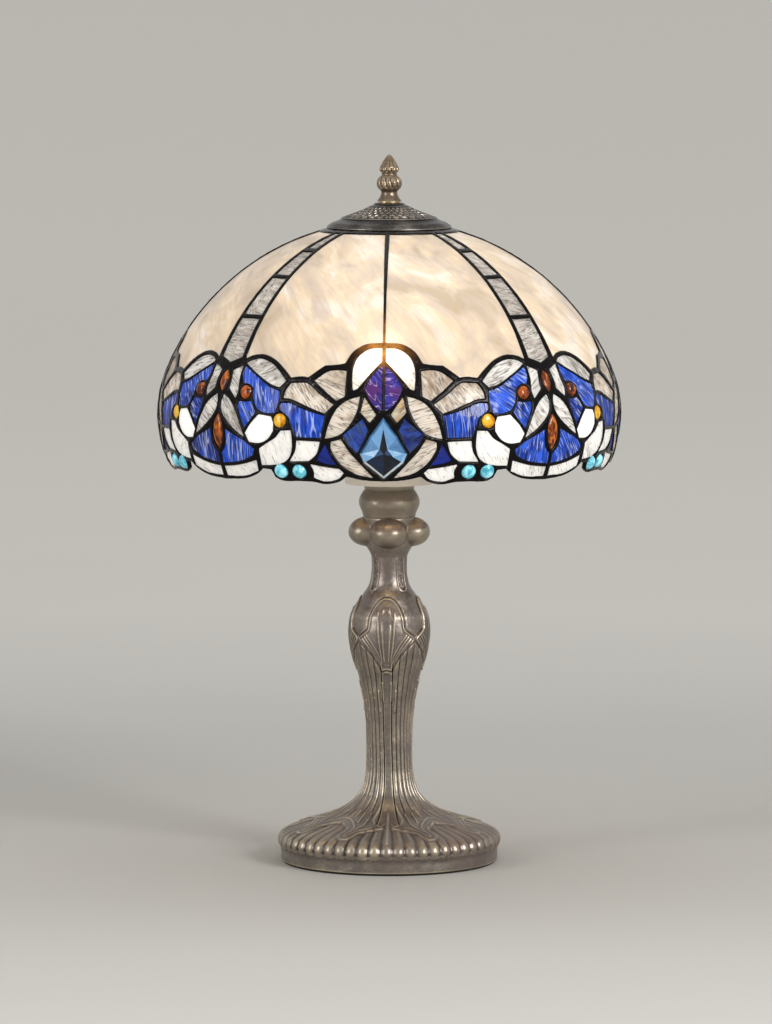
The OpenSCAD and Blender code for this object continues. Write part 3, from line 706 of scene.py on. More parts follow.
LEAF_LINES = [on_vase(line) for line in (
        [(0, 230), (6.5, 229.8), (13, 228), (19.5, 223.8), (22.8, 218.5), (24.6, 212.5),
        (25.2, 206.5), (26.4, 203.8), (30, 201.6), (36, 199), (41.2, 196.8), (42.2, 195.2),
        (40.4, 193.6), (29, 187.8), (18.8, 181), (10.5, 174), (7, 168.8)],
        [(13, 219), (12.4, 210), (11.3, 200), (9.5, 188), (7, 178)],
        [(5, 221), (5.6, 205), (4.6, 190), (3.4, 177)],
        [(37, 195.5), (27, 189), (17, 181), (9, 173.5)],
        [(33, 197.5), (24.5, 191), (15.5, 182.5), (8, 174.5)],
        [(29.5, 199), (21.5, 193), (13.5, 184.5), (7, 176)])]
VASE_LINES = [on_vase(line) for line in (
        [(0, 169.8), (4.4, 169.5)], [(0, 167), (4.4, 166.7)], [(9, 157), (10, 149), (8.6, 141)],
        [(18, 150), (19, 141), (17, 132)])]
FOOT_LEAF = on_foot([(9, 24), (11, 32), (14.5, 42), (14.5, 50), (9, 57.5), (2.6, 62.5),
        (10, 65.5), (19.5, 71.5), (21.5, 81), (25, 87), (29, 86), (31.3, 81), (30.6, 73),
        (30.5, 67),
        (35.5, 62), (40.5, 58.5), (45, 56)])
FOOT_LINES = [on_foot(line) for line in (
        [(13, 62), (17, 64.5), (23, 70), (25, 79), (26.8, 82), (28, 78.5), (27, 70.5), (26.5, 63),
        (31, 56.5), (38, 50.5), (45, 48.5)],
        [(21, 40), (20.5, 50), (20.5, 58), (23.5, 64), (26, 72)],
        [(30, 40), (29, 48), (28, 54)], [(38, 38), (38, 45)],
        [(2.4, 54), (5, 57.5), (2, 60)])]
STEM_LINE = on_foot([(0, 34), (0, 45), (0, 60), (0, 75), (0, 90)])
VASE_TURN = math.radians(-3.2)
FOOT_Z, VASE_LOW, VASE_HIGH = 66, 126, 236
BAND_EDGE, FLUTE_PITCH, GADROONS = 10.5, 11.5, 56  # degrees, degrees and a count round the foot


def base_relief(t, r, z):
    """How far the base casting's cast pattern stands out, in mm."""
    ft, vt = fold(t), fold(t - VASE_TURN)

    push = np.zeros(t.shape)
    foot, vase = z < FOOT_Z, (z > VASE_LOW) & (z < VASE_HIGH)
    half_foot = turned_point(np.radians(ft), r, z)[foot]
    half_vase = turned_point(np.radians(vt), r, z)[vase]
    # Flutes up the stem and the lower vase, out over the foot, and a plain band at each quarter.
    unit = np.where(foot, ft, ft + (vt - ft) * step_up(z, FOOT_Z, VASE_LOW))
    across = np.clip((unit - BAND_EDGE) / FLUTE_PITCH, 0, 3)
    flute = np.sqrt(np.clip(1 - (2 * (across % 1) - 1) ** 2, 0, 1))
    gap = step_up(r * np.radians(np.abs(unit - BAND_EDGE)), 0, 1.1)
    flute = np.where(unit > BAND_EDGE, flute, gap)
    fade = step_up(r, 76, 50) * step_up(z, 204, 184)
    deep = 1.6 + 0.5 * step_up(r, 22, 30) * foot
    push += (flute - 1) * deep * np.where(foot, fade, step_up(z, 197, 186))
    # Foot: beaded gadroons, then the leaves that lie over them.
    wave = np.abs(np.cos(ft * GADROONS / 360 * math.pi)) ** 0.75
    beads = step_up(r, 52, 70) * step_up(z, 14.2, 17)
    deep = 1.3 + 1.2 * step_up(r, 85, 94)
    foot_push = push + (wave - 1) * beads * deep * foot
    scallop = step_up(z, 17.5, 14) * step_up(z, 12.2, 14)
    foot_push += (wave - 0.6) * 0.8 * scallop
    leaf_t, leaf_r = np.array([(p[0], p[1]) for p in FOOT_LEAF + on_foot([(45, 20), (9, 20)])]).T
    over = is_inside(ft[foot], r[foot], np.stack([leaf_t, leaf_r], -1))
    edge = line_distance([FOOT_LEAF], half_foot)
    lines = line_distance(FOOT_LINES, half_foot)
    raised = np.where(over, step_up(edge, 0, 1.5), 0) * step_up(r[foot], 30, 46)
    value = foot_push[foot] * (1 - raised) + raised * 0.35
    near = step_up(r[foot], 27, 36)
    value += near * (1.35 * ridge(edge, 1.1) + 0.75 * ridge(lines, 0.9))
    stem = line_distance([STEM_LINE], half_foot)
    value += step_up(r[foot], 34, 44) * 1.1 * ridge(stem, 1.0)
    push[foot] = value
    # Vase: leaves with ridged edges and lobes that fold down to the band.
    outline = LEAF_LINES[0]
    leaf = np.array([(p[0], p[2]) for p in outline + on_vase([(0, 166)])])
    inside = is_inside(vt[vase], z[vase], leaf)
    edge = line_distance([outline], half_vase)
    folds = line_distance(LEAF_LINES[1:], half_vase)
    marks = line_distance(VASE_LINES, half_vase)
    cover = np.where(inside, step_up(edge, 0, 1.4), 0)
    soft = step_up(z[vase], 127, 140) * step_up(z[vase], 235, 222)
    outside = np.where(inside, 0, step_up(z[vase], 192, 200)) * soft
    value = push[vase] * (1 - cover) + cover * 0.1 - 0.7 * outside * step_up(edge, 0, 1.6)
    value += 0.75 * ridge(edge, 0.9) - 0.6 * np.where(inside, 0, ridge(edge - 1.9, 0.9))
    value += cover * 0.75 * ridge(folds, 0.8) + 0.8 * ridge(marks, 0.9) - 0.3 * soft
    push[vase] = value
    # Neck: a long sunk slot with a raised rim at each corner.
    x = r * np.radians(45 - vt)
    y = np.maximum(np.abs(z - 252.5) - 12.5, 0)
    slot = np.hypot(x, y) - 3.4
    neck = step_up(z, 228, 234)
    push += neck * (0.5 * ridge(slot - 0.5, 0.8) - 1.1 * step_up(slot, 0.2, -0.9))
    points = turned_point(t, r, z)
    stipple = noise3(points, 0.8, 3) * 0.35
    push += neck * step_up(slot, 0, -1) * stipple
    push += 0.12 * noise3(points, 5, 4) + 0.05 * noise3(points, 1.6, 5)
    return np.clip(push, -2.6, 2.0) * step_up(z, 2, 3.5) * step_up(z, 266, 262)


KNOB_OUTER = [(5.2, 262), (14.8, 262), (15.3, 264), (15.9, 266), (17, 268.8), (18.8, 271.6),
    (20.8, 275),
    (21.6, 280), (21.8, 290), (22.2, 296), (22.4, 298.4), (21.6, 300), (5.2, 300)]
COLLAR_OUTER = [(5.2, 297.6), (21.2, 297.6), (22.6, 299.6), (23.2, 302.4), (24.4, 305.4),
    (25.9, 308.6), (26.3, 311), (26.1, 313.6), (25.4, 316), (24.4, 318), (23, 320.4),
    (21.6, 322.2),
    (21, 323.2), (21.2, 324.2), (22, 325), (22, 327.8), (21.6, 328), (5.2, 328)]
LOBE_OUT, LOBE_Z, LOBE_R, LOBE_H = 19.5, 286, 16, 12.6


def knob_relief(t, r, z):
    """Four round lobes that swell out of the knob at the quarters."""
    a = t % (math.pi / 2)
    a = np.minimum(a, math.pi / 2 - a)
    reach = LOBE_R * np.sqrt(np.clip(1 - ((z - LOBE_Z) / LOBE_H) ** 2, 0, 1))
    inside = reach ** 2 - (LOBE_OUT * np.sin(a)) ** 2
    lobe = LOBE_OUT * np.cos(a) + np.sqrt(np.clip(inside, 0, None)) - r
    lobe = np.where(inside > 0, lobe, -7)
    lobe = np.maximum(0.5 * (lobe + np.sqrt(lobe ** 2 + 5)) - 0.3, 0)
    points = turned_point(t, r, z)
    cast = 0.15 * noise3(points, 6, 6) + 0.05 * noise3(points, 1.7, 7)
    return (lobe + cast) * step_up(r, 10, 16)


def plain_relief(t, r, z):
    points = turned_point(t, r, z)
    return 0.1 * noise3(points, 6, 8) + 0.04 * noise3(points, 1.7, 9)


FINIAL_OUTER = [(4.05, 570.5), (10.9, 570.5), (10.3, 571.4), (8.6, 573.4), (7.4, 575.6),
    (6.8, 578), (6.9, 579.2), (8, 580.2), (9.8, 582), (10.8, 584.6), (10.8, 587.4), (9.8, 590),
    (7.6, 592), (6.4, 593.4), (6.3, 594.8), (7.6, 595.9), (8.8, 597.4), (8.7, 598.8),
    (7.8, 600.2), (6.8, 602.2), (5.4, 604.8), (3.7, 607.4), (1.9, 609.6), (0.3, 610.9)]
FINIAL_INNER = [(0.2, 610.8), (0.2, 589), (4.05, 589)]


def finial_relief(t, r, z):
    """A ribbed ball, a ring of beads and a bud of pointed petals."""
    ball = step_up(z, 580.5, 583) * step_up(z, 592.5, 590)
    beads = step_up(z, 595, 596) * step_up(z, 600.2, 599.2)
    bud = step_up(z, 599.5, 601) * step_up(z, 610, 605)
    ribs = np.abs(np.cos(t * 6 + (z - 586) * 0.12)) ** 0.6 - 1
    round_beads = np.abs(np.cos(t * 5)) ** 0.6 - 1
    petals = np.abs(np.cos(t * 5 + math.pi / 2)) ** 0.5 - 1
    return ball * ribs * 1.7 + beads * round_beads * 1.9 + bud * petals * 1.1


# ---- pierced cap
CAP_LINE = [(4.6, 569.4), (12.3, 569.4), (13.4, 568), (17.6, 565.8), (22.8, 563.2), (29.8, 560.6),
    (36, 558.4), (40, 556.6), (41.4, 555.6), (46.6, 553.2), (51.6, 550.8), (53.4, 549.6),
    (53.9, 548.3)]


def pierced_cap(material):
    """A cone with rows of diamond holes and a ring of darts, over a rolled rim."""
    line, inward = profile(CAP_LINE, 0.5, 2)
    normal = -inward
    run = distance_along(line)
    half = math.pi / 32
    t_line = np.linspace(0, half, 10)
    t, k = np.meshgrid(t_line, np.arange(len(line)), indexing="ij")
    r = line[k, 0]
    field = np.full(t.shape, 3.0)
    for radius, shift, wide, tall in [(19.5, 0, 1.15, 1.6), (23.4, 1, 1.4, 1.9),
            (28, 0, 1.75, 2.2), (33, 1, 2.1, 2.3)]:
        x = r * (t - shift * half)
        y = run[k] - np.interp(radius, line[:, 0], run)
        field = np.minimum(field, (np.abs(x) / wide + np.abs(y) / tall - 1) * 1.4)
    x = r * t
    y = run[k] - np.interp(37, line[:, 0], run)
    dart = np.maximum(np.abs(y) - 1.7, np.abs(x) - (1.4 - 0.55 * y))
    field = np.minimum(field, dart)
    flipped = field[:, ::-1]
    spots, values, faces = fill_region(flipped, 0, 1, t_line, -run[::-1])
    t, s, v, faces = turned_copies(spots, values, faces, 32)
    at = -s
    r0, z0 = np.interp(at, run, line[:, 0]), np.interp(at, run, line[:, 1])
    n0, n1 = np.interp(at, run, normal[:, 0]), np.interp(at, run, normal[:, 1])
    lip = 0.35 * ridge(v - 0.5, 0.5) * (v < 2.2)
    rolls = 0.9 * ridge(r0 - 40.4, 0.8) + 0.4 * ridge(r0 - 16, 0.7) + 0.5 * ridge(r0 - 48.5, 2.2)
    points = []
    for depth in (-0.1 + lip + rolls, np.full(len(t), -1.7)):
        r, z = r0 + depth * n0, z0 + depth * n1
        points.append(turned_point(t, r, z))
    return closed_sheet("vent_cap_pierced", points[0], points[1], faces, material)


# ---- metals and other finishes
def bronze(name, dark, mid, bright, rough=0.42, bump=0.25, painted_top_light=0.0):
    """Aged casting: dark in its hollows, worn bright on its high points and, by its last number,
    painted lighter from the top of the neck upward: painted light falling on the knob and collar."""
    n = Nodes(name)
    place = n.coords()
    blotch = n.noise(place, 45, 5, 0.6)
    fine = n.noise(place, 420, 4, 0.65)
    point = n.add("NewGeometry").outputs["Pointiness"]
    high = n.scaled(n.math("SUBTRACT", point, 0.5), 6.0, 0.5, clamp=True)
    wear = n.scaled(n.math("SUBTRACT", blotch, 0.5), 0.4, high, clamp=True)
    wear = n.scaled(n.math("SUBTRACT", fine, 0.5), 0.2, wear, clamp=True)
    colour = n.ramp(wear, [(0.18, dark), (0.5, mid), (0.85, bright)]).outputs[0]
    tint = n.noise(place, 18, 3)
    colour = n.mix(n.mask(tint, 0.42, 0.62, 0.55), colour,
        tuple(a * b for a, b in zip(mid, (1.1, 0.97, 1.0))))
    # Painted light: the casting turns lighter from 264 mm and is fully lighter by 284 mm, over the
    # knob and collar.
    if painted_top_light:
        z = n.add("SeparateXYZ", {"Vector": n.add("TexCoord").outputs["Object"]}).outputs["Z"]
        knob = n.math("MULTIPLY", n.scaled(z, 50, -13.2, True), painted_top_light)
        colour = n.mix(knob, colour, bright)
    roughness = n.scaled(fine, 0.3, rough - 0.15)
    normal = n.bump(n.math("ADD", fine, n.math("MULTIPLY", blotch, 0.6)), bump, 0.0004)
    return n.finish(n.add("BsdfPrincipled", {"Base Color": colour, "Metallic": 0.82,
            "Roughness": roughness, "Normal": normal}))


def metal(name, colour, rough=0.3, variation=0.25, brushed=(1, 1, 1)):
    n = Nodes(name)
    place = n.coords(brushed)
    marks = n.noise(place, 260, 4, 0.6)
    stain = n.noise(n.coords(), 40, 4, 0.6)
    dark = tuple(c * (1 - variation) for c in colour)
    colour = n.mix(n.scaled(marks, 0.5, n.math("MULTIPLY", stain, 0.5)), dark, colour)
    roughness = n.scaled(marks, 0.25, rough - 0.1)
    return n.finish(n.add("BsdfPrincipled", {"Base Color": colour, "Metallic": 1.0,
            "Roughness": roughness,
            "Normal": n.bump(marks, 0.15, 0.0003)}))


def plain(name, colour, rough=0.6, scale=300, variation=0.2, bump=0.3, distance=0.0004):
    n = Nodes(name)
    grain = n.noise(n.coords(), scale, 4, 0.6)
    wide = n.noise(n.coords(), scale / 8, 3)
    dark = tuple(c * (1 - variation) for c in colour)
    shade = n.scaled(grain, 0.5, n.math("MULTIPLY", wide, 0.5))
    return n.finish(n.add("BsdfPrincipled", {
            "Base Color": n.mix(shade, dark, colour), "Roughness": rough,
            "Normal": n.bump(grain, bump, distance)}))


def lead(name):
    """Solder under a black patina, with thin silvery rubs, and a painted amber glow where it
    crosses the bulbs' hot spots.
    """
    n = Nodes(name)
    place = n.coords()
    fine = n.noise(place, 500, 3)
    wide = n.noise(place, 90, 4, 0.6)
    rub = n.ramp(n.scaled(fine, 0.5, n.math("MULTIPLY", wide, 0.5)),
        [(0.6, (0.008, 0.007, 0.007)), (0.72, (0.12, 0.11, 0.1))]).outputs[0]
    roughness = n.scaled(wide, 0.3, 0.1)
    normal = n.bump(n.math("ADD", wide, n.math("MULTIPLY", fine, 0.3)), 0.5, 0.0006)
    # Painted light: an amber glow on the solder in front of the bulbs.
    painted_bulb_glow = n.math("MULTIPLY", lit_spot(n, 0.015), n.scaled(wide, 2.4, -0.5, True))
    return n.finish(n.add("BsdfPrincipled", {
            "Base Color": rub, "Metallic": 0.85, "Roughness": roughness, "Normal": normal,
            "Emission Color": (1.0, 0.4, 0.08), "Emission Strength": painted_bulb_glow}))


def lamp_glow(name, colour, strength):
    """Frosted bulb glass, lit from inside and a little brighter towards its middle."""
    n = Nodes(name)
    wave = n.noise(n.coords(), 60, 2)
    shade = n.mix(wave, tuple(c * 0.9 for c in colour), colour)
    skin = n.add("BsdfPrincipled", {"Base Color": (0.95, 0.93, 0.88), "Roughness": 0.3,
            "Emission Color": shade, "Emission Strength": strength})
    return n.finish(skin)


def cast_jewel(name, stops, facets=False, inner=0.1):
    """Cast coloured glass with a glossy face and streaks or facets in its depth. It glows evenly
    by inner, painted light standing in for the bulbs' light through it, and facets take painted
    light and shade from each face's tone.
    """
    n = Nodes(name)
    wave = n.noise(n.coords((1, 1, 0.6)), 170, 3, 0.5, 1.0)
    level = wave
    # The facets' tones are painted light and shade.
    if facets:
        level = n.scaled(n.math("SUBTRACT", wave, 0.5), 0.3,
            n.attribute("facet_painted_light").outputs["Fac"], clamp=True)
    colour = n.ramp(level, stops).outputs[0]
    face = n.add("BsdfPrincipled", {"Base Color": colour, "Roughness": 0.05, "IOR": 1.5,
            "Specular IOR Level": 0.3, "Coat Weight": 0.3,
            "Coat Roughness": 0.02, "Transmission Weight": 0.1,
            "Emission Color": colour, "Emission Strength": inner})
    return lit_through(n, 0.12, face, colour)


# ---- pieces of the shade
FIELDS = {name: [piece_field(smooth(places(outline))) for outline in outlines]
    for name, outlines in PATTERN.items()}
FIELDS["kite_jewels"] = [piece_field(places(KITE))]
for node, spots in SPOTS.items():
    FIELDS[node] = [piece_field(circle_outline(*spot)) for spot in spots]
FIELDS["marquise_jewels"] = [piece_field(lens_outline(*spot)) for spot in MARQUISES]


def rim_field():
    line = smooth(places(RIM), closed=False)
    points = shade_point(line[:, 0], line[:, 1], MIDDLE)
    d = near_distance(GRID_P.reshape(-1, 3), points, closed=False).reshape(GRID_T.shape)
    above = GRID_S > np.interp(GRID_T, line[:, 0], line[:, 1])
    return np.where(above, d, -d)


def rounded(v, reach):
    """The height, from 0 to 1, of a round edge at a distance v from its foot."""
    return np.sqrt(np.clip(1 - (1 - np.clip(v / reach, 0, 1)) ** 2, 0, 1))


def bead(v, p):
    """Depth of the solder's rounded face at a distance v from the glass beside it."""
    swell = rounded(v, SOLDER_ROUND)
    lump = 0.16 * noise3(p, 5, 1) + 0.1 * noise3(p, 2.2, 2)
    return np.maximum(1.75 - 1.4 * swell + lump * swell, 0.05)


def bead_back(v, p):
    return 3.6 + 1.1 * rounded(v, SOLDER_ROUND) + 0.1 * noise3(p, 4, 12)


def pane(ripple, cell, seed):
    def front(v, p):
        return 1.55 + ripple * noise3(p, cell, seed) + 0.05 * noise3(p, 2.4, seed + 1)
    return front


def pane_back(v, p):
    return 3.9 + 0.1 * noise3(p, 6, 20)


def dome(rise, radius):
    def front(v, p):
        return 2.1 - rise * rounded(v, radius)
    return front


# Each glass's inner sets an even painted glow, and the arch and shoulder petals also get a painted
# hot spot in front of the bulbs: painted light standing in for the bulbs' light through the glass.
shade_materials = {
    "cream_panels": cream_glass("cream_glass_opal"),
    "rib_glass": glass("rib_glass_rippled", [(0.3, (0.3, 0.26, 0.23)), (0.5, (0.62, 0.57, 0.53)),
        (0.68, (0.88, 0.85, 0.8))], (0.1, 0.08, 0.06), (0.85, 0.83, 0.78), 1.2,
        (0.6, 6, 1), 0.075),
    "arch_petals": glass("arch_glass", [(0.3, (0.78, 0.68, 0.56)), (0.5, (0.95, 0.91, 0.84))],
        (0.3, 0.2, 0.12), width=0.05, through=0.22, painted_hot_spot=2.6, inner=0.1),
    "bud_petals": glass("bud_glass_violet", [(0.28, (0.012, 0.008, 0.12)),
        (0.44, (0.03, 0.028, 0.28)), (0.6, (0.07, 0.06, 0.42)),
        (0.74, (0.25, 0.18, 0.6))], (0.01, 0.008, 0.07), (0.75, 0.55, 0.85),
        shape=(0.5, 2, 1), width=0.03, inner=0.22, shimmer=(0.13, 0.035, 0.2)),
    "iridescent_diamonds": glass("diamond_glass", [(0.3, (0.3, 0.19, 0.08)),
        (0.48, (0.66, 0.48, 0.28)), (0.62, (0.92, 0.84, 0.68))],
        (0.1, 0.06, 0.03), (0.95, 0.9, 0.8), inner=0.2,
        shimmer=(0.55, 0.52, 0.42)),
    "medallion_leaves": glass("leaf_glass_clear", WARM),
    "medallion_blues": glass("medallion_glass_cobalt", [(0.32, (0.006, 0.014, 0.09)),
        (0.5, (0.02, 0.05, 0.3)), (0.66, (0.05, 0.12, 0.5))], NAVY,
        width=0.02, inner=0.2, shimmer=(0.07, 0.1, 0.15)),
    "clear_crescents": glass("crescent_glass_clear", WARM),
    "deep_blue_points": glass("point_glass_deep_blue", [(0.34, (0.003, 0.006, 0.06)),
        (0.6, (0.01, 0.03, 0.32))], NAVY, width=0.02, inner=0.2),
    "shoulder_petals": glass("petal_glass_white", WARM, inner=0.16, painted_hot_spot=0.6),
    "streaky_blues": glass("streaky_glass_blue", COBALT, NAVY, ICE, shape=(0.16, 1.7, 1),
        width=0.04, inner=0.24),
    "lower_petals": glass("lower_glass_white", WHITE, (0.35, 0.33, 0.3), width=0.025, inner=0.25),
    "rim_scallops": glass("scallop_glass_clear", WHITE, (0.3, 0.27, 0.24), width=0.028,
        inner=0.25),
    "wing_petals": glass("wing_glass_white", PALE),
    "wing_blues": glass("wing_glass_blue", COBALT, NAVY, ICE, shape=(0.3, 3.4, 1), inner=0.26),
    "wing_clears": glass("wing_glass_clear", PALE),
    "wing_leaves": glass("wing_leaf_glass", PALE, inner=0.16),
    "white_pentagons": glass("pentagon_glass_white", [(0.3, (0.93, 0.93, 0.92)),
        (0.5, (1.0, 1.0, 1.0))], (0.8, 0.78, 0.74), width=0.015, inner=0.35),
    "fan_blues": glass("fan_glass_blue", COBALT, NAVY, ICE, shape=(0.3, 3.4, 1), inner=0.24),
    "yellow_jewels": cast_jewel("jewel_yellow", [(0.3, (0.22, 0.07, 0.002)),
        (0.48, (0.72, 0.32, 0.008)), (0.62, (0.95, 0.6, 0.05))]),
    "amber_cabochons": cast_jewel("jewel_amber", [(0.36, (0.02, 0.004, 0.002)),
        (0.5, (0.14, 0.02, 0.003)), (0.62, (0.5, 0.11, 0.008))]),
    "marquise_jewels": cast_jewel("jewel_marquise", [(0.34, (0.03, 0.006, 0.002)),
        (0.48, (0.18, 0.03, 0.003)), (0.6, (0.55, 0.15, 0.012))]),
    "teal_cabochons": cast_jewel("jewel_teal", [(0.32, (0.03, 0.25, 0.34)),
        (0.46, (0.12, 0.52, 0.64)), (0.62, (0.42, 0.82, 0.92))],
        inner=0.22),
    # The kite's ramp ends in near-white for the painted highlight on its bevel.
    "kite_jewels": cast_jewel("jewel_steel_blue", [(0.04, (0.001, 0.002, 0.006)),
        (0.2, (0.006, 0.018, 0.06)), (0.45, (0.08, 0.2, 0.4)),
        (0.72, (0.2, 0.42, 0.7)), (0.9, (0.5, 0.72, 0.9)),
        (1.0, (0.95, 0.95, 0.85))], True, 0.12),
}
LEANS = {"cream_panels": (1.0, 0.5), "streaky_blues": (1.5, 0.15), "fan_blues": (1.4, 0.4),
    "wing_blues": (1.1, 0.6), "rib_glass": (0.2, 0.5), "shoulder_petals": (0.9, 0.5)}
JEWELS = {"yellow_jewels": (1.9, 5), "amber_cabochons": (3.6, 5), "teal_cabochons": (4.2, 5.6),
    "marquise_jewels": (1.95, 4.5)}
SLOTS = {part["node"]: part["material_slot"] for part in frame["record"]["subparts"]}


def finished(obj, body, *nodes):
    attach(obj, body)
    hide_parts(*nodes)
    return obj


everything = np.max([f for fields in FIELDS.values() for f in fields], 0)
lattice = np.minimum(-everything, rim_field())
finished(shade_sheet("solder_net", [lattice], 0, bead, bead_back, lead("solder_black"), 1),
    "shade", "solder_lattice")
for number, (node, fields) in enumerate(FIELDS.items()):
    if node == "kite_jewels":
        continue
    front = dome(*JEWELS[node]) if node in JEWELS else pane(0.14, 4.5, number * 3 + 30)
    if node in ("cream_panels", "rib_glass"):
        front = pane(0.18, 14 if node == "cream_panels" else 4, number * 3 + 30)
    step = 3 if node == "cream_panels" else 1 if node in JEWELS else 2
    level = -0.35 if node in JEWELS else -0.8
    finished(shade_sheet(node + "_cut", fields, level, front, pane_back, shade_materials[node],
            step, number, LEANS.get(node, (0.4, 1.0))), "shade", node)


def kite_jewel():
    """Four faceted kites: a bevel, two wide upper facets about a dark wedge, and a deep point.
    Each facet's tone is painted light and shade: a painted highlight on the lower bevel, the wedge
    painted dark, and the right-hand facets, seen from outside, painted a little darker.
    """
    right = {"A0": (0, 401.3, 2.4), "B0": (3.5, 384, 2.4), "C0": (5.9, 370, 2.4),
        "D0": (5, 361.6, 2.4), "E0": (0, 347.6, 2.4),
        "A1": (0, 396.8, 0.5), "B1": (2.95, 383.4, 0.5), "C1": (5.1, 370.4, 0.5),
        "D1": (4.3, 363.4, 0.5), "E1": (0, 351, 0.5), "F": (0, 391, 0.15),
        "G": (0.95, 374.2, 0.1), "H": (0, 369.8, 0.9), "J": (2.3, 367.6, 0.3)}
    # Each facet's tone is painted light and shade, from the wedge painted dark at 0.0 to the
    # painted highlight on the lower bevel at 1.0.
    shapes = [("A0 B0 B1 A1", 0.5), ("B0 C0 C1 B1", 0.4), ("C0 D0 D1 C1", 0.85),
        ("D0 E0 E1 D1", 1.0), ("A1 B1 G F", 0.66), ("B1 C1 G", 0.52), ("C1 J G", 0.84),
        ("C1 D1 J", 0.7), ("F G H", 0.0), ("G J H", 0.3), ("J D1 E1 H", 0.12)]
    points, faces, painted_facet_lights = [], [], []
    for q in range(4):
        index = {}
        for hand in (1, -1):
            for name, (deg, z, depth) in right.items():
                if hand < 0 and deg == 0:
                    index[name, -1] = index[name, 1]
                    continue
                index[name, hand] = len(points)
                t = math.radians(hand * deg + 90 * q)
                points.append(shade_point(t, angle_to_s(profile_angle(z)), depth))
        ring = ["A0", "B0", "C0", "D0", "E0"]
        outline = [index[k, 1] for k in ring] + [index[k, -1] for k in ring[3:0:-1]]
        base = len(points)
        for k in outline:
            p = points[k]
            radial = np.array([p[0], p[1], 0]) / math.hypot(p[0], p[1])
            points.append(p - radial * 2.2)
        n = len(outline)
        faces.append([base + i for i in range(n)])
        faces += [[outline[i], base + i, base + (i + 1) % n, outline[(i + 1) % n]]
            for i in range(n)]
        painted_facet_lights += [0.3] * (n + 1)
        for hand in (1, -1):
            for names, tint in shapes:
                f = [index[k, hand] for k in names.split()]
                faces.append(f[::-1] if hand > 0 else f)
                # Painted shade: the right-hand facets a little darker.
                painted_facet_lights.append(tint - 0.06 * (hand > 0))
    obj = mesh_object("kite_jewels_faceted", points, faces, shade_materials["kite_jewels"], False)
    layer = obj.data.attributes.new("facet_painted_light", "FLOAT", "FACE")
    layer.data.foreach_set("value", painted_facet_lights)
    return obj


finished(kite_jewel(), "shade", "kite_jewels")

# ---- base, collar, cap and finial
# The last number paints the knob and collar lighter: painted light.
old_bronze = bronze("bronze_aged", (0.022, 0.017, 0.014), (0.2, 0.175, 0.155), (0.68, 0.58, 0.4),
    0.36, 0.15, 0.2)
finished(turned("base_cast", BASE_OUTER, BASE_INNER, base_relief, 480, old_bronze, 0.7, 8),
    "base", "base_casting")
finished(turned("knob_cast", KNOB_OUTER, [], knob_relief, 400, old_bronze, 0.45, 5, True),
    "base", "lobed_knob")
finished(turned("collar_cast", COLLAR_OUTER, [], plain_relief, 240, old_bronze, 0.45, 5),
    "base", "column_collar")
cap_bronze = bronze("bronze_dark", (0.005, 0.004, 0.004), (0.02, 0.017, 0.015),
    (0.34, 0.3, 0.26), 0.3)
finished(pierced_cap(cap_bronze), "vent_cap", "vent_cap")
finial_brass = bronze("brass_antique", (0.03, 0.022, 0.014), (0.17, 0.13, 0.09),
    (0.6, 0.48, 0.32), 0.34)
finished(turned("finial_ribbed", FINIAL_OUTER, FINIAL_INNER, finial_relief, 192, finial_brass,
        0.35), "finial", "finial")

# ---- parts that keep their shape
FINISHES = {
    "felt": plain("felt_black", (0.02, 0.019, 0.018), 0.95, 900, 0.5, 0.8, 0.0006),
    "steel": metal("steel_zinc", (0.6, 0.6, 0.61), 0.35),
    "weight_iron": metal("iron_grey", (0.2, 0.2, 0.2), 0.6, 0.4),
    "rubber": plain("rubber_black", (0.03, 0.03, 0.03), 0.6),
    "brass": metal("brass_plain", (0.72, 0.52, 0.25), 0.28, 0.35, (1, 1, 0.2)),
    "pale_enamel": plain("enamel_cream", (0.82, 0.79, 0.7), 0.25, 120, 0.12, 0.1),
    "shell_metal": metal("shell_bronze", (0.16, 0.12, 0.09), 0.4, 0.4),
    "ceramic": plain("ceramic_white", (0.85, 0.83, 0.78), 0.35, 200, 0.1),
    "wire": plain("wire_red", (0.35, 0.05, 0.03), 0.45),
    "dark_bronze": cap_bronze,
    "bulb_cap": metal("bulb_cap_nickel", (0.7, 0.69, 0.66), 0.25),
    "bulb_glass": lamp_glow("bulb_frosted", (1.0, 0.78, 0.5), 8),
    "filament": lamp_glow("filament_lit", (1.0, 0.6, 0.25), 8),
}
for node, obj in frame["nodes"].items():
    if SLOTS[node] in FINISHES and node != "vent_cap":
        obj.data.materials.clear()
        obj.data.materials.append(FINISHES[SLOTS[node]])

# ---- floor, light and camera
CAMERA_TURN, DISTANCE, CAMERA_Z, AIM_Z = math.radians(1.4), 5.13, 0.803, 0.301


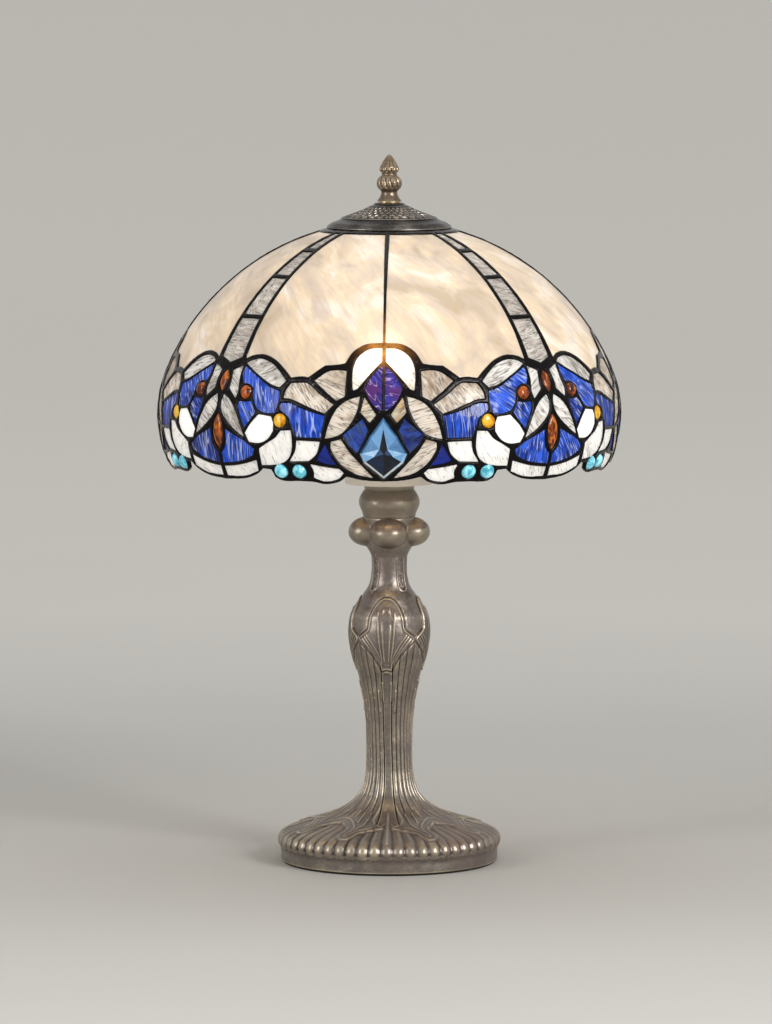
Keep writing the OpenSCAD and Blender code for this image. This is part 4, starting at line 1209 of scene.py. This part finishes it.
def backdrop():
    """A wide pale floor, so that the lamp can be seen from every side. Its grey is painted in
    bands by how far back it lies, darkest just behind the lamp and lightest far behind: painted
    light and shade.
    """
    ends = [-60, -6, -3, -1.5, 0, 1.5, 3, 6, 12, 25, 50, 120]
    points = [(x, y, 0) for y in ends for x in (-60, 60)]
    faces = [[2 * k, 2 * k + 1, 2 * k + 3, 2 * k + 2] for k in range(len(ends) - 1)]
    n = Nodes("paper_grey")
    place = n.add("TexCoord").outputs["Object"]
    y = n.add("SeparateXYZ", {"Vector": place}).outputs["Y"]
    worn = n.noise(place, 3, 3)
    y = n.math("MAXIMUM", y, -3.0)
    far = n.math("DIVIDE", y, n.math("ADD", y, DISTANCE))
    # Painted light and shade: the floor's grey set by how far back it lies.
    painted_floor_light = n.scaled(far, 0.5, n.scaled(worn, 0.01, 0.395))
    shade = n.ramp(painted_floor_light, [(0.0, grey(0.4)), (0.3, grey(0.5)), (0.345, grey(0.455)),
            (0.378, grey(0.4)), (0.425, grey(0.375)), (0.47, grey(0.43)),
            (0.535, grey(0.605)), (0.6, grey(0.71)), (0.73, grey(0.78)),
            (0.9, grey(0.76))])
    paper = n.finish(n.add("BsdfPrincipled", {
            "Base Color": n.mix(1.0, shade, (1.0, 0.975, 0.915), "MULTIPLY"), "Roughness": 0.9,
            "Normal": n.bump(worn, 0.05, 0.001)}))
    mesh_object("backdrop", np.array(points) / MM, faces, paper)


def softbox(name, place, aim, size, power):
    light = bpy.data.lights.new(name, "AREA")
    light.shape = "RECTANGLE"
    light.size, light.size_y = size
    light.energy = power
    obj = bpy.data.objects.new(name, light)
    obj.location = place
    obj.rotation_euler = (Vector(aim) - Vector(place)).to_track_quat("-Z", "Y").to_euler()
    bpy.context.scene.collection.objects.link(obj)


backdrop()
world = bpy.data.worlds.new("studio")
world.use_nodes = True
world.node_tree.nodes["Background"].inputs["Color"].default_value = (1.0, 0.99, 0.97, 1)
world.node_tree.nodes["Background"].inputs["Strength"].default_value = 0.62
bpy.context.scene.world = world
softbox("key_right", (2.4, -2.6, 1.7), (0, 0, 0.3), (1.3, 1.6), 110)
softbox("fill_left", (-2.6, -1.9, 1.3), (0, 0, 0.35), (1.0, 2.0), 36)
softbox("top_soft", (0, 0.3, 2.8), (0, 0, 0.3), (2.0, 2.0), 14)

camera = bpy.data.cameras.new("photo_camera")
camera.lens, camera.sensor_width = 210.2, 36
camera.shift_x, camera.shift_y = -0.0032, 0.002
camera.clip_start, camera.clip_end = 0.5, 300
eye = bpy.data.objects.new("photo_camera", camera)
eye.location = (DISTANCE * math.sin(CAMERA_TURN), -DISTANCE * math.cos(CAMERA_TURN), CAMERA_Z)
aim = Vector((0, 0, AIM_Z)) - eye.location
eye.rotation_euler = aim.to_track_quat("-Z", "Y").to_euler()
bpy.context.scene.collection.objects.link(eye)
bpy.context.scene.camera = eye
bpy.context.scene.view_settings.view_transform = "Standard"
